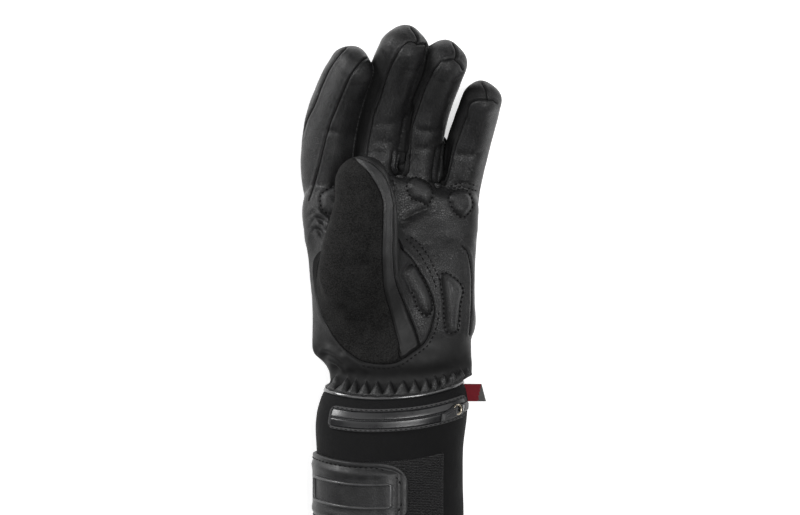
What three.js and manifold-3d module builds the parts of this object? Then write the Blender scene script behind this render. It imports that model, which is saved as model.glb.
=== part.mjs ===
// A padded winter glove for the left hand, lying on its back with the palm up.
// X runs across the palm towards the little finger, Y towards the fingertips, Z up out of the palm.
// The origin is on the flat of the back where the glove rests. Lengths are in millimetres, and inside
// the group Y is measured from the wrist line.

import * as THREE from "three";
import Module from "manifold-3d";

const wasm = await Module();
wasm.setup();

// Gap left between two pieces that are sewn or laid together.
const GAP = 0.3;

// Where along the palm the origin lies, as a share of PALM_LENGTH.
const ORIGIN_SHARE = 0.45;

// Hand: leather outside, insulation and lining inside.
const PALM_LENGTH = 122;
const PALM_WIDTH = 104;
const PALM_DEPTH = 46;
const PALM_WALL = 4;
const PALM_SQUARENESS = 2.5;
const KNUCKLE_SQUARENESS = 3.2;
const WRIST_BAND = 4;
const WRIST_TILT = 0.055;

// Fingers and thumb. The finger sizes are those of the middle finger.
const FINGER_LENGTH = 120;
const FINGER_WIDTH = 28;
const FINGER_DEPTH = 26.5;
const FINGER_WALL = 3.6;
const FINGER_SQUARENESS = 2.6;
const THUMB_LENGTH = 112;
const THUMB_WIDTH = 50;
const THUMB_DEPTH = 43;
const THUMB_WALL = 3.8;
const THUMB_SQUARENESS = 2.3;
const GUSSET_WIDTH = 72;
const GUSSET_LENGTH = 70;
const GUSSET_THICKNESS = 1.2;
const STRIPE_WIDTH = 7.2;
const STRIPE_THICKNESS = 0.8;

// Padding sewn under the palm leather.
const PAD_THICKNESS = 1.8;
const PAD_SIZE = 16;
const HEEL_PAD_WIDTH = 13.5;
const HEEL_PAD_LENGTH = 37;
const THUMB_PAD_WIDTH = 18;
const THUMB_PAD_LENGTH = 33;

// Gathered wrist band and the rolled piping below it.
const PLEATS = 30;
const PLEAT_HEIGHT = 1.5;
const BAND_WALL = 2;
const PIPING_DIAMETER = 2.2;

// Cuff.
const CUFF_LENGTH = 84;
const CUFF_WIDTH = 90;
const CUFF_DEPTH = 59;
const CUFF_WALL = 3;
const CUFF_SQUARENESS = 2.25;
const CUFF_SINK = 0.025;
const CUFF_DROOP = 6.1;
const HEM_LENGTH = 6;
const HEM_LIP = 0.6;
const HEM_ROUND = 1;

// Battery pocket zip: its centre line is measured down the cuff from the wrist line.
const ZIP_DOWN = 13;
const ZIP_FRAME_WIDTH = 13.4;
const ZIP_WINDOW_WIDTH = 10.2;
const ZIP_FRAME_THICKNESS = 1.2;
const ZIP_TAPE_THICKNESS = 0.7;
const ZIP_COIL_WIDTH = 1.6;
const ZIP_COIL_THICKNESS = 1.5;
const SLIDER_LENGTH = 8;
const SLIDER_WIDTH = 5.4;
const SLIDER_THICKNESS = 2.6;
const RING_DIAMETER = 6.6;
const RING_WIRE = 1;
const PULL_LENGTH = 11;
const PULL_WIDTH = 7.4;
const PULL_THICKNESS = 2.2;

// Closure strap, its raised badge frame and the loop patch that it grips.
const STRAP_DOWN = 37.2;
const STRAP_WIDTH = 40;
const STRAP_THICKNESS = 2;
const STRAP_CORNER = 15;
const STRAP_RAMP = 10;
const BADGE_WIDTH = 15;
const BADGE_RIM = 1.4;
const BADGE_THICKNESS = 0.8;
const LOOP_THICKNESS = 1.1;

// Folded tab in the cuff's side seam.
const TAB_LENGTH = 10.4;
const TAB_WIDTH = 10.4;
const TAB_THICKNESS = 2.6;
const TAB_TAPE = 0.8;
const TAB_DOWN = 1.6;

// Palm sections: along is a share of PALM_LENGTH, left and right of PALM_WIDTH, top and bottom of PALM_DEPTH.
const PALM_SECTIONS = [
  { along: 0.0, left: 0.372, right: 0.43, top: 1.13, bottom: 0.04 },
  { along: 0.06, left: 0.381, right: 0.433, top: 1.12, bottom: 0.01 },
  { along: 0.1, left: 0.41, right: 0.436, top: 1.1, bottom: -0.02 },
  { along: 0.139, left: 0.453, right: 0.438, top: 1.08, bottom: -0.03 },
  { along: 0.19, left: 0.4615, right: 0.4355, top: 1.06, bottom: -0.03 },
  { along: 0.223, left: 0.4625, right: 0.456, top: 1.03, bottom: -0.03 },
  { along: 0.385, left: 0.47, right: 0.4615, top: 0.96, bottom: -0.03 },
  { along: 0.582, left: 0.479, right: 0.467, top: 0.9, bottom: -0.03 },
  { along: 0.73, left: 0.502, right: 0.476, top: 0.84, bottom: -0.03 },
  { along: 0.852, left: 0.512, right: 0.485, top: 0.8, bottom: -0.02 },
  { along: 0.926, left: 0.51, right: 0.486, top: 0.79, bottom: 0.02 },
  { along: 0.97, left: 0.497, right: 0.476, top: 0.76, bottom: 0.07 },
  { along: 1.0, left: 0.46, right: 0.44, top: 0.67, bottom: 0.16 },
];
// The knuckle end of the palm falls back towards both sides, by shares of PALM_LENGTH.
const KNUCKLE_FALL = { left: 0.045, right: 0.072, starts: 0.04, ends: 0.3 };
const PALM_SIDES = 28;

// Fingers: length, width and depth are shares of the finger sizes, across of PALM_WIDTH, from of
// PALM_LENGTH and lift of PALM_DEPTH. The length runs to the end of the round tip. Lean is the sideways
// angle at the root, halfway and at the tip, curl the upward angle at the tip, and roll turns the section.
const FINGERS = [
  { name: "index_finger", length: 0.892, width: 1.057, depth: 0.981, across: -0.35, from: 0.82, lift: 0.36,
    lean: [-11, 11, 23], curl: 46, roll: 38, taper: 0.84 },
  { name: "middle_finger", length: 1, width: 1, depth: 1, across: -0.112, from: 0.82, lift: 0.36,
    lean: [1, 12, 26], curl: 52, roll: 24, taper: 0.97 },
  { name: "ring_finger", length: 0.921, width: 0.886, depth: 0.928, across: 0.124, from: 0.82, lift: 0.36,
    lean: [0, 12, 27], curl: 52, roll: 20, taper: 0.97 },
  { name: "little_finger", length: 0.733, width: 0.807, depth: 0.849, across: 0.37, from: 0.79, lift: 0.35,
    lean: [3, 14, 20], curl: 46, roll: 22, taper: 0.97 },
];
// Finger girth: along is a share of the way to the round tip, girth of the finger's width and depth. Each
// finger's own taper is the share left at the end.
const FINGER_GIRTH = [
  { along: 0.0, girth: 0.96 },
  { along: 0.22, girth: 1.02 },
  { along: 0.42, girth: 1.06 },
  { along: 0.62, girth: 1.08 },
  { along: 0.82, girth: 1.06 },
  { along: 1.0, girth: 1.0 },
];
const FINGER_SIDES = 14;
const FINGER_STEPS = 7;
const CURL_POWER = 1.4;
const TIP_ROUNDNESS = 1.08;
const TIP_ANGLES = [28, 54, 74];

// Thumb: across is a share of PALM_WIDTH, along of THUMB_LENGTH from the wrist, rise of PALM_DEPTH,
// width of THUMB_WIDTH and depth of THUMB_DEPTH.
const THUMB_SECTIONS = [
  { across: -0.1, along: 0.28, rise: 0.46, width: 0.82, depth: 0.8 },
  { across: -0.148, along: 0.41, rise: 0.68, width: 0.98, depth: 0.96 },
  { across: -0.2, along: 0.57, rise: 0.95, width: 1.0, depth: 1.0 },
  { across: -0.199, along: 0.73, rise: 1.17, width: 0.87, depth: 0.93 },
  { across: -0.179, along: 0.86, rise: 1.31, width: 0.77, depth: 0.86 },
  { across: -0.168, along: 0.97, rise: 1.39, width: 0.72, depth: 0.81 },
  { across: -0.18, along: 1.06, rise: 1.43, width: 0.64, depth: 0.74 },
];
const THUMB_SIDES = 18;
const THUMB_STEPS = 9;

// Gusset outline round the thumb's root: its centre as shares of PALM_WIDTH and THUMB_LENGTH, its points as
// shares of half the gusset's width and length.
const GUSSET_CENTRE = { across: -0.115, along: 0.402 };
const GUSSET_OUTLINE = [
  [0.1, 1.2], [0.4, 1.1], [0.617, 0.91], [0.783, 0.634], [0.933, 0.326], [1.0, 0], [0.917, -0.411],
  [0.633, -0.72], [0.267, -0.917], [-0.033, -0.92], [-0.367, -0.771], [-0.767, -0.309], [-0.95, 0.086],
  [-1.01, 0.514], [-0.95, 0.85], [-0.6, 1.1],
];

// Light stripe up the thumb: points of its centre line as shares of THUMB_LENGTH from the wrist and of
// PALM_WIDTH across.
const STRIPE_LINE = [
  { along: 0.24, across: 0.083 },
  { along: 0.37, across: 0.04 },
  { along: 0.5, across: -0.009 },
  { along: 0.61, across: -0.028 },
  { along: 0.73, across: -0.03 },
  { along: 0.9, across: -0.03 },
  { along: 1.02, across: -0.045 },
  { along: 1.11, across: -0.098 },
  { along: 1.15, across: -0.15 },
];

// Pad outlines, as shares of half the pad's own width and length.
const ROUND_PAD = [
  [-0.95, 0.55], [-0.3, 1.0], [0.45, 0.92], [0.98, 0.3], [0.95, -0.5], [0.4, -1.0], [-0.4, -0.85],
  [-0.85, -0.3],
];
const HEEL_PAD = [
  [-0.75, 1.0], [-0.2, 0.98], [0.9, 0.72], [1.0, 0.5], [0.7, -0.85], [0.45, -1.0], [-0.35, -1.0], [-0.6, -0.85],
  [-0.95, 0.7],
];
const THUMB_PAD = [
  [-0.75, 0.7], [-0.35, 1.0], [0.1, 0.9], [0.5, 0.35], [0.9, -0.5], [0.9, -0.9], [0.55, -1.0], [0.15, -0.85],
  [-0.25, -0.25], [-0.8, 0.3],
];
// Pad places: across is a share of PALM_WIDTH and along of PALM_LENGTH.
const PADS = [
  { name: "pad_index", across: -0.352, along: 0.88,
    width: PAD_SIZE, length: 1.2 * PAD_SIZE, outline: ROUND_PAD },
  { name: "pad_middle", across: -0.09, along: 0.9,
    width: 1.1 * PAD_SIZE, length: 1.1 * PAD_SIZE, outline: ROUND_PAD },
  { name: "pad_ring", across: 0.155, along: 0.918,
    width: PAD_SIZE, length: 1.15 * PAD_SIZE, outline: ROUND_PAD },
  { name: "pad_little", across: 0.385, along: 0.862,
    width: PAD_SIZE, length: 1.1 * PAD_SIZE, outline: ROUND_PAD },
  { name: "pad_heel", across: 0.34, along: 0.375,
    width: HEEL_PAD_WIDTH, length: HEEL_PAD_LENGTH, outline: HEEL_PAD },
];
// The pad in the thumb's crotch: across is a share of PALM_WIDTH and along of THUMB_LENGTH.
const THUMB_PAD_PLACE = { across: 0.132, along: 0.51 };

// Cuff sections: along is a share of CUFF_LENGTH, left and right of CUFF_WIDTH, depth of CUFF_DEPTH.
const CUFF_SECTIONS = [
  { along: 0.0, left: 0.462, right: 0.462, depth: 0.86 },
  { along: 0.06, left: 0.484, right: 0.482, depth: 0.92 },
  { along: 0.13, left: 0.498, right: 0.492, depth: 0.96 },
  { along: 0.22, left: 0.5, right: 0.485, depth: 0.98 },
  { along: 0.44, left: 0.49, right: 0.468, depth: 1.0 },
  { along: 1.0, left: 0.502, right: 0.462, depth: 1.01 },
];
const CUFF_SIDES = 36;

// Turns round the cuff, in degrees from the front centre line towards the little finger's side.
const ZIP_TURNS = [-52, 71];
const ZIP_WINDOW_TURNS = [-49.5, 68];
const SLIDER_TURN = 62;
const STRAP_TURNS = [-116, 11];
const BADGE_TURNS = [-74, -3];
const LOOP_TURNS = [-14, 42];
const TURN_STEP = 9;
const STRAP_STEP = 4.5;

const { degToRad, lerp, clamp, smoothstep } = THREE.MathUtils;
const UP = new THREE.Vector3(0, 0, 1);

// A unit superellipse's point at an angle.
function roundedSquare(angle, squareness) {
  const c = Math.cos(angle);
  const s = Math.sin(angle);
  return [Math.sign(c) * Math.abs(c) ** (2 / squareness), Math.sign(s) * Math.abs(s) ** (2 / squareness)];
}

// One column of a table, read at a place between its rows.
function readTable(table, column, along) {
  const last = table.length - 1;
  let i = table.findIndex((row) => row.along > along);
  i = i < 0 ? last : Math.max(i, 1);
  const [low, high] = [table[i - 1], table[i]];
  const share = clamp((along - low.along) / (high.along - low.along), 0, 1);
  return lerp(low[column], high[column], share);
}

// A closed solid from points and triangles, turned to face outwards.
function solid(points, faces) {
  let volume = 0;
  for (const [a, b, c] of faces) volume += points[a].dot(points[b].clone().cross(points[c]));
  return new wasm.Manifold(new wasm.Mesh({
    numProp: 3,
    vertProperties: Float32Array.from(points.flatMap((p) => p.toArray())),
    triVerts: Uint32Array.from(volume > 0 ? faces.flat() : faces.flatMap(([a, b, c]) => [a, c, b])),
  }));
}

// A solid through rings of points, capped at both ends, or joined end to end when it closes on itself.
function loft(rings, closed = false) {
  const sides = rings[0].length;
  const points = rings.flat();
  const faces = [];
  const spans = closed ? rings.length : rings.length - 1;
  for (let i = 0; i < spans; i++) {
    const here = i * sides;
    const next = ((i + 1) % rings.length) * sides;
    for (let j = 0; j < sides; j++) {
      const k = (j + 1) % sides;
      faces.push([here + j, here + k, next + j], [here + k, next + k, next + j]);
    }
  }
  if (!closed)
    for (const start of [0, (rings.length - 1) * sides]) {
      const ring = points.slice(start, start + sides);
      const centre = points.length;
      points.push(ring.reduce((sum, p) => sum.add(p), new THREE.Vector3()).divideScalar(sides));
      for (let j = 0; j < sides; j++) {
        const k = (j + 1) % sides;
        faces.push(start === 0 ? [centre, start + k, start + j] : [centre, start + j, start + k]);
      }
    }
  return solid(points, faces);
}

// The body of a cut solid with the most volume, without crumbs.
function largest(body) {
  return body.decompose().reduce((best, piece) => (piece.volume() > best.volume() ? piece : best));
}

// The upright prism over an outline in the XY plane.
function prism(outline, low, high) {
  const shape = new THREE.Shape(outline.map(([x, y]) => new THREE.Vector2(x, y)));
  const geometry = new THREE.ExtrudeGeometry(shape, { depth: high - low, bevelEnabled: false });
  geometry.translate(0, 0, low);
  return fromGeometry(geometry);
}

// A solid from a closed geometry, whose matching corners are merged.
function fromGeometry(geometry) {
  const position = geometry.getAttribute("position");
  const seen = new Map();
  const points = [];
  const corners = [];
  for (let i = 0; i < position.count; i++) {
    const p = new THREE.Vector3().fromBufferAttribute(position, i);
    const key = p.toArray().map((v) => v.toFixed(4)).join();
    if (!seen.has(key)) seen.set(key, points.push(p) - 1);
    corners.push(seen.get(key));
  }
  const faces = [];
  for (let i = 0; i < corners.length; i += 3) faces.push(corners.slice(i, i + 3));
  return solid(points, faces);
}

// An outline's corners at its place in the XY plane.
function placeOutline(outline, x, y, width, length) {
  return outline.map(([u, v]) => [x + (u * width) / 2, y + (v * length) / 2]);
}

// The hand without its fingers, grown or shrunk all round, and flattened where it rests.
function palm(grow, sides = PALM_SIDES) {
  const rings = PALM_SECTIONS.map((row) => {
    const squareness = lerp(PALM_SQUARENESS, KNUCKLE_SQUARENESS, row.along);
    const half = ((row.left + row.right) / 2) * PALM_WIDTH + grow;
    const middle = ((row.right - row.left) / 2) * PALM_WIDTH;
    const rise = Math.max(((row.top - row.bottom) / 2) * PALM_DEPTH + grow, 0.5);
    const height = ((row.top + row.bottom) / 2) * PALM_DEPTH;
    const ending = smoothstep(row.along, 0.85, 1) - (row.along === 0 ? Math.sign(grow) : 0);
    return Array.from({ length: sides }, (_, j) => {
      const [u, v] = roundedSquare((2 * Math.PI * j) / sides, squareness);
      const x = middle + u * half;
      const fall = (x > 0 ? KNUCKLE_FALL.right : KNUCKLE_FALL.left) * smoothstep(row.along, 0.55, 0.95) *
        smoothstep(Math.abs(x) / PALM_WIDTH, KNUCKLE_FALL.starts, KNUCKLE_FALL.ends);
      const tilt = WRIST_TILT * x * (1 - smoothstep(row.along, 0, 0.4));
      const y = WRIST_BAND + (row.along - fall) * PALM_LENGTH + tilt + ending * grow;
      return new THREE.Vector3(x, y, Math.max(height + v * rise, -grow));
    });
  });
  return loft(rings);
}

// Rings round a path, with a round tip: sections hold the centre, direction and half sizes.
function tube(sections, sides, squareness, grow, roll = 0) {
  const ringAt = ({ centre, ahead, width, depth }, shrink = 1, forward = 0) => {
    const side = ahead.clone().cross(UP).normalize();
    const out = side.clone().cross(ahead);
    const across = side.clone().applyAxisAngle(ahead, degToRad(roll));
    const over = out.clone().applyAxisAngle(ahead, degToRad(roll));
    return Array.from({ length: sides }, (_, j) => {
      const [u, v] = roundedSquare((2 * Math.PI * (j + 0.5)) / sides, squareness);
      return centre.clone()
        .addScaledVector(ahead, forward)
        .addScaledVector(across, u * (width + grow) * shrink)
        .addScaledVector(over, v * (depth + grow) * shrink);
    });
  };
  const rings = sections.map((section) => ringAt(section));
  const end = sections.at(-1);
  const reach = TIP_ROUNDNESS * end.depth + grow;
  for (const angle of TIP_ANGLES)
    rings.push(ringAt(end, Math.cos(degToRad(angle)) ** 0.9, reach * Math.sin(degToRad(angle))));
  return loft(rings);
}

// One finger, from inside the hand to its tip, curled towards the palm and leaning sideways.
function finger(spec, grow, sides = FINGER_SIDES) {
  const centre = new THREE.Vector3(
    spec.across * PALM_WIDTH, WRIST_BAND + spec.from * PALM_LENGTH, spec.lift * PALM_DEPTH);
  const length = spec.length * FINGER_LENGTH;
  const width = spec.width * FINGER_WIDTH;
  const depth = spec.depth * FINGER_DEPTH;
  const straight = length - (TIP_ROUNDNESS * depth) / 2;
  const sections = [];
  for (let i = 0; i <= FINGER_STEPS; i++) {
    const share = i / FINGER_STEPS;
    const [atRoot, halfway, atTip] = spec.lean;
    const lean = degToRad(share < 0.5 ? lerp(atRoot, halfway, 2 * share) : lerp(halfway, atTip, 2 * share - 1));
    const pitch = degToRad(spec.curl * share ** CURL_POWER);
    const ahead = new THREE.Vector3(
      Math.sin(lean) * Math.cos(pitch), Math.cos(lean) * Math.cos(pitch), Math.sin(pitch));
    const girth = (readTable(FINGER_GIRTH, "girth", share) * lerp(1, spec.taper, share ** 2)) / 2;
    sections.push({ centre: centre.clone(), ahead, width: width * girth, depth: depth * girth });
    centre.addScaledVector(ahead, straight / FINGER_STEPS);
  }
  if (grow < 0) sections[0].centre.y += grow;
  return tube(sections, sides, FINGER_SQUARENESS, grow, -spec.roll);
}

// The thumb, from inside the hand to its tip.
function thumb(grow, sides = THUMB_SIDES) {
  const curve = new THREE.CatmullRomCurve3(THUMB_SECTIONS.map((row) => new THREE.Vector3(
    row.across * PALM_WIDTH, row.along * THUMB_LENGTH, row.rise * PALM_DEPTH)));
  const girths = THUMB_SECTIONS.map((row, i) => ({ ...row, along: i / (THUMB_SECTIONS.length - 1) }));
  const sections = Array.from({ length: THUMB_STEPS + 1 }, (_, i) => {
    const share = i / THUMB_STEPS;
    return {
      centre: curve.getPoint(share),
      ahead: curve.getTangent(share),
      width: (readTable(girths, "width", share) * THUMB_WIDTH) / 2,
      depth: (readTable(girths, "depth", share) * THUMB_DEPTH) / 2,
    };
  });
  return tube(sections, sides, THUMB_SQUARENESS, grow);
}

// A point on the cuff: turn in degrees round it, distance down from the wrist line, and height off its skin.
function cuffPoint(turn, down, height) {
  const share = down / CUFF_LENGTH;
  const left = readTable(CUFF_SECTIONS, "left", share) * CUFF_WIDTH;
  const right = readTable(CUFF_SECTIONS, "right", share) * CUFF_WIDTH;
  const depth = (readTable(CUFF_SECTIONS, "depth", share) * CUFF_DEPTH) / 2;
  const [v, u] = roundedSquare(degToRad(turn), CUFF_SQUARENESS);
  const x = (right - left) / 2 + u * ((left + right) / 2 + height);
  const y = WRIST_TILT * x - down - CUFF_DROOP * Math.max(Math.cos(degToRad(turn)), 0) ** 2;
  const z = CUFF_DEPTH * (0.5 - CUFF_SINK) + v * (depth + height);
  return new THREE.Vector3(x, y, Math.max(z, 0, -height));
}

// A closed band round the cuff through a profile of [down, height] points.
function hoop(profile, sides = CUFF_SIDES, pointAt = cuffPoint) {
  const rings = Array.from({ length: sides }, (_, j) =>
    profile.map(([down, height]) => pointAt((360 * j) / sides, down, height)));
  return loft(rings, true);
}

// A slab bent over the cuff: edges(turn) gives its upper and lower edge, base(turn) its underside's height.
// It bends at the cuff's own sections on the way down.
function slab(turns, edges, base, thickness, step = TURN_STEP) {
  const steps = Math.max(Math.round((turns[1] - turns[0]) / step), 2);
  const [top, bottom] = edges(turns[0]);
  const bends = CUFF_SECTIONS.map((row) => row.along * CUFF_LENGTH).filter((d) => d > top && d < bottom);
  const rings = Array.from({ length: steps + 1 }, (_, i) => {
    const turn = lerp(turns[0], turns[1], i / steps);
    const [upper, lower] = edges(turn);
    const downs = [upper, ...bends.map((d) => clamp(d, upper + 0.1, lower - 0.1)), lower];
    const low = base(turn);
    const under = downs.map((d) => cuffPoint(turn, d, low));
    const over = downs.map((d) => cuffPoint(turn, d, low + thickness));
    return [...under, ...over.reverse()];
  });
  return loft(rings);
}

// Degrees of turn that a length along the cuff takes up near a given turn.
function turnsFor(length, turn, down) {
  return length / cuffPoint(turn + 0.5, down, 0).distanceTo(cuffPoint(turn - 0.5, down, 0));
}

const pieces = [];
function add(name, body, color, roughness, metalness = 0) {
  pieces.push({ name, body: largest(body), color, roughness, metalness });
}

const LEATHER = [0x1b1c1e, 0.45];
const SOFTSHELL = [0x1f2022, 0.75];
const SUEDE = [0x232323, 0.95];

// Hand, fingers and thumb share their hollows, so that a hand goes all the way in.
const palmSkin = palm(0);
const palmCut = palm(GAP);
const fingerHollows = FINGERS.map((spec) => finger(spec, -FINGER_WALL, FINGER_SIDES - 4));
const thumbHollow = thumb(-THUMB_WALL, THUMB_SIDES - 6);
const hollows = [palm(-PALM_WALL, PALM_SIDES - 8), ...fingerHollows, thumbHollow];
add("hand", hollows.reduce((body, cut) => body.subtract(cut), palmSkin), ...SOFTSHELL);

FINGERS.forEach((spec, i) => {
  let body = finger(spec, 0).subtract(palmCut).subtract(fingerHollows[i]);
  if (i > 0) body = body.subtract(finger(FINGERS[i - 1], GAP));
  add(spec.name, body, ...LEATHER);
});

const gussetX = GUSSET_CENTRE.across * PALM_WIDTH;
const gussetY = GUSSET_CENTRE.along * THUMB_LENGTH;
const gussetPrism = prism(placeOutline(GUSSET_OUTLINE, gussetX, gussetY, GUSSET_WIDTH, GUSSET_LENGTH),
  PALM_DEPTH / 2, 2 * PALM_DEPTH);
const thumbWithGusset = (grow) =>
  thumb(grow).add(gussetPrism.intersect(palm(GAP + GUSSET_THICKNESS + grow)));
add("thumb", thumbWithGusset(0).subtract(palmCut).subtract(thumbHollow), ...SUEDE);

// Light stripe up the thumb, laid over its skin.
function stripeOutline() {
  const line = new THREE.SplineCurve(STRIPE_LINE.map((row) =>
    new THREE.Vector2(row.across * PALM_WIDTH, row.along * THUMB_LENGTH)));
  const sides = [1, -1].map((side) => Array.from({ length: 9 }, (_, i) => {
    const p = line.getPoint(i / 8);
    const t = line.getTangent(i / 8);
    return [p.x - (side * t.y * STRIPE_WIDTH) / 2, p.y + (side * t.x * STRIPE_WIDTH) / 2];
  }));
  return [...sides[0], ...sides[1].reverse()];
}
add("thumb_stripe", prism(stripeOutline(), 0.9 * PALM_DEPTH, 3 * PALM_DEPTH)
  .intersect(thumbWithGusset(GAP + STRIPE_THICKNESS).subtract(thumbWithGusset(GAP))), 0x4a4a4c, 0.4);

// Pads follow the skin that they are sewn to.
const padBody = (outline, skin) =>
  prism(outline, PALM_DEPTH / 2, 2 * PALM_DEPTH).intersect(skin(GAP + PAD_THICKNESS).subtract(skin(GAP)));
for (const pad of PADS) {
  const outline = placeOutline(pad.outline, pad.across * PALM_WIDTH, WRIST_BAND + pad.along * PALM_LENGTH,
    pad.width, pad.length);
  let body = padBody(outline, palm).subtract(thumbWithGusset(GAP));
  for (const spec of FINGERS) body = body.subtract(finger(spec, GAP));
  add(pad.name, body, ...LEATHER);
}
add("pad_thumb", padBody(placeOutline(THUMB_PAD, THUMB_PAD_PLACE.across * PALM_WIDTH,
  THUMB_PAD_PLACE.along * THUMB_LENGTH, THUMB_PAD_WIDTH, THUMB_PAD_LENGTH), thumbWithGusset)
  .subtract(prism(stripeOutline(), 0, 3 * PALM_DEPTH)), ...LEATHER);

// Gathered band: from the hand's end at down 0 to the piping at down 1.
function bandPoint(turn, down, height) {
  const start = PALM_SECTIONS[0];
  const [v, u] = roundedSquare(degToRad(turn), lerp(PALM_SQUARENESS, CUFF_SQUARENESS, down));
  const half = ((start.left + start.right) / 2) * PALM_WIDTH;
  const rise = ((start.top - start.bottom) / 2) * PALM_DEPTH;
  const x = ((start.right - start.left) / 2) * PALM_WIDTH + u * (half + height);
  const z = ((start.top + start.bottom) / 2) * PALM_DEPTH + v * (rise + height);
  const above = new THREE.Vector3(x, WRIST_BAND - GAP + WRIST_TILT * x, z);
  const ridge = Math.cos(degToRad(turn) * PLEATS) * PLEAT_HEIGHT * Math.sin(0.8 * Math.PI * down);
  const point = above.lerp(cuffPoint(turn, -PIPING_DIAMETER / 2 - GAP, height), down);
  const outward = new THREE.Vector3(u, 0, v).normalize();
  return point.addScaledVector(outward, ridge).setZ(Math.max(point.z, 0));
}
add("wrist_gather", hoop([[0, 0], [0.55, 0], [1, 0], [1, -BAND_WALL], [0, -BAND_WALL]],
  2 * PLEATS, bandPoint), ...SOFTSHELL);

// Piping: a round cord between the band and the cuff.
const pipingRadius = PIPING_DIAMETER / 2;
const pipingProfile = Array.from({ length: 6 }, (_, j) => {
  const angle = (2 * Math.PI * (j + 0.5)) / 6;
  return [pipingRadius * Math.cos(angle), pipingRadius * Math.sin(angle) - BAND_WALL / 2];
});
add("wrist_piping", hoop(pipingProfile), 0x111113, 0.25);

// Cuff tube and its bound hem.
const cuffStart = pipingRadius + GAP;
const cuffDowns = [cuffStart, ...CUFF_SECTIONS.slice(1).map((row) => row.along * CUFF_LENGTH)];
const liningDowns = cuffDowns.filter((_, i) => i % 2 === 0 || i === cuffDowns.length - 1).reverse();
add("cuff", hoop([...cuffDowns.map((down) => [down, 0]), ...liningDowns.map((down) => [down, -CUFF_WALL])]),
  ...SOFTSHELL);
const hemStart = CUFF_LENGTH + GAP;
add("cuff_hem", hoop([
  [hemStart, 0], [hemStart + HEM_ROUND, HEM_LIP], [hemStart + HEM_LENGTH - 1.5 * HEM_ROUND, HEM_LIP],
  [hemStart + HEM_LENGTH, -HEM_LIP],
  [hemStart + HEM_LENGTH, -CUFF_WALL], [hemStart, -CUFF_WALL],
]), 0x18181a, 0.7);

// Zip: a stitched frame with a window, two tapes, the coil between them, a slider, its ring and its pull.
const onSkin = () => GAP;
const around = (width) => () => [ZIP_DOWN - width / 2, ZIP_DOWN + width / 2];
const zipWindow = (turns, width) => slab(turns, around(width), () => -CUFF_WALL, 3 * CUFF_WALL);
add("zip_frame", slab(ZIP_TURNS, around(ZIP_FRAME_WIDTH), onSkin, ZIP_FRAME_THICKNESS)
  .subtract(zipWindow(ZIP_WINDOW_TURNS, ZIP_WINDOW_WIDTH)), 0x1d1e20, 0.6);
const inset = turnsFor(GAP, 0, ZIP_DOWN);
const tapeTurns = [ZIP_WINDOW_TURNS[0] + inset, ZIP_WINDOW_TURNS[1] - 2 * inset];
const tapeInner = ZIP_COIL_WIDTH / 2 + GAP;
const tapeOuter = ZIP_WINDOW_WIDTH / 2 - GAP;
add("zip_tape_upper", slab(tapeTurns, () => [ZIP_DOWN - tapeOuter, ZIP_DOWN - tapeInner], onSkin,
  ZIP_TAPE_THICKNESS), 0x2a2b2e, 0.35);
add("zip_tape_lower", slab(tapeTurns, () => [ZIP_DOWN + tapeInner, ZIP_DOWN + tapeOuter], onSkin,
  ZIP_TAPE_THICKNESS), 0x2a2b2e, 0.35);
add("zip_coil", slab(tapeTurns, around(ZIP_COIL_WIDTH), onSkin, ZIP_COIL_THICKNESS), 0x141416, 0.5);

const sliderBase = GAP * 2 + ZIP_COIL_THICKNESS;
const sliderHalf = turnsFor(SLIDER_LENGTH / 2, SLIDER_TURN, ZIP_DOWN);
const ringReach = RING_DIAMETER / 2 - RING_WIRE - GAP;
const ringTurn = SLIDER_TURN - sliderHalf - turnsFor(ringReach, SLIDER_TURN, ZIP_DOWN);
const ringHeight = sliderBase + Math.min(SLIDER_THICKNESS, PULL_THICKNESS) / 2;
function ring(grow) {
  const centre = cuffPoint(ringTurn, ZIP_DOWN, ringHeight);
  const along = cuffPoint(ringTurn + 1, ZIP_DOWN, ringHeight)
    .sub(cuffPoint(ringTurn - 1, ZIP_DOWN, ringHeight)).normalize();
  const across = new THREE.Vector3(0, 1, 0).addScaledVector(along, -along.y).normalize();
  const out = along.clone().cross(across);
  const radius = (RING_DIAMETER - RING_WIRE) / 2;
  return loft(Array.from({ length: 12 }, (_, i) => {
    const angle = (2 * Math.PI * i) / 12;
    const outward = along.clone().multiplyScalar(Math.cos(angle)).addScaledVector(across, Math.sin(angle));
    return Array.from({ length: 6 }, (_, j) => {
      const turn = (2 * Math.PI * j) / 6;
      return centre.clone()
        .addScaledVector(outward, radius + (RING_WIRE / 2 + grow) * Math.cos(turn))
        .addScaledVector(out, (RING_WIRE / 2 + grow) * Math.sin(turn));
    });
  }), true);
}
add("zip_slider", slab([SLIDER_TURN - sliderHalf, SLIDER_TURN + sliderHalf], around(SLIDER_WIDTH),
  () => sliderBase, SLIDER_THICKNESS, 4).subtract(ring(GAP)), 0x2c2c2e, 0.35, 0.6);
add("zip_ring", ring(0), 0xb7a98c, 0.3, 1);
const pullEnd = ringTurn - turnsFor(ringReach, ringTurn, ZIP_DOWN);
const pullStart = pullEnd - turnsFor(PULL_LENGTH, pullEnd, ZIP_DOWN);
add("zip_pull", slab([pullStart, pullEnd], (turn) => {
  const half = (PULL_WIDTH / 2) * lerp(0.62, 1, (turn - pullStart) / (pullEnd - pullStart));
  return [ZIP_DOWN - half, ZIP_DOWN + half];
}, () => sliderBase, PULL_THICKNESS, 4).subtract(ring(GAP)), 0x8d8e90, 0.45);

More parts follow.
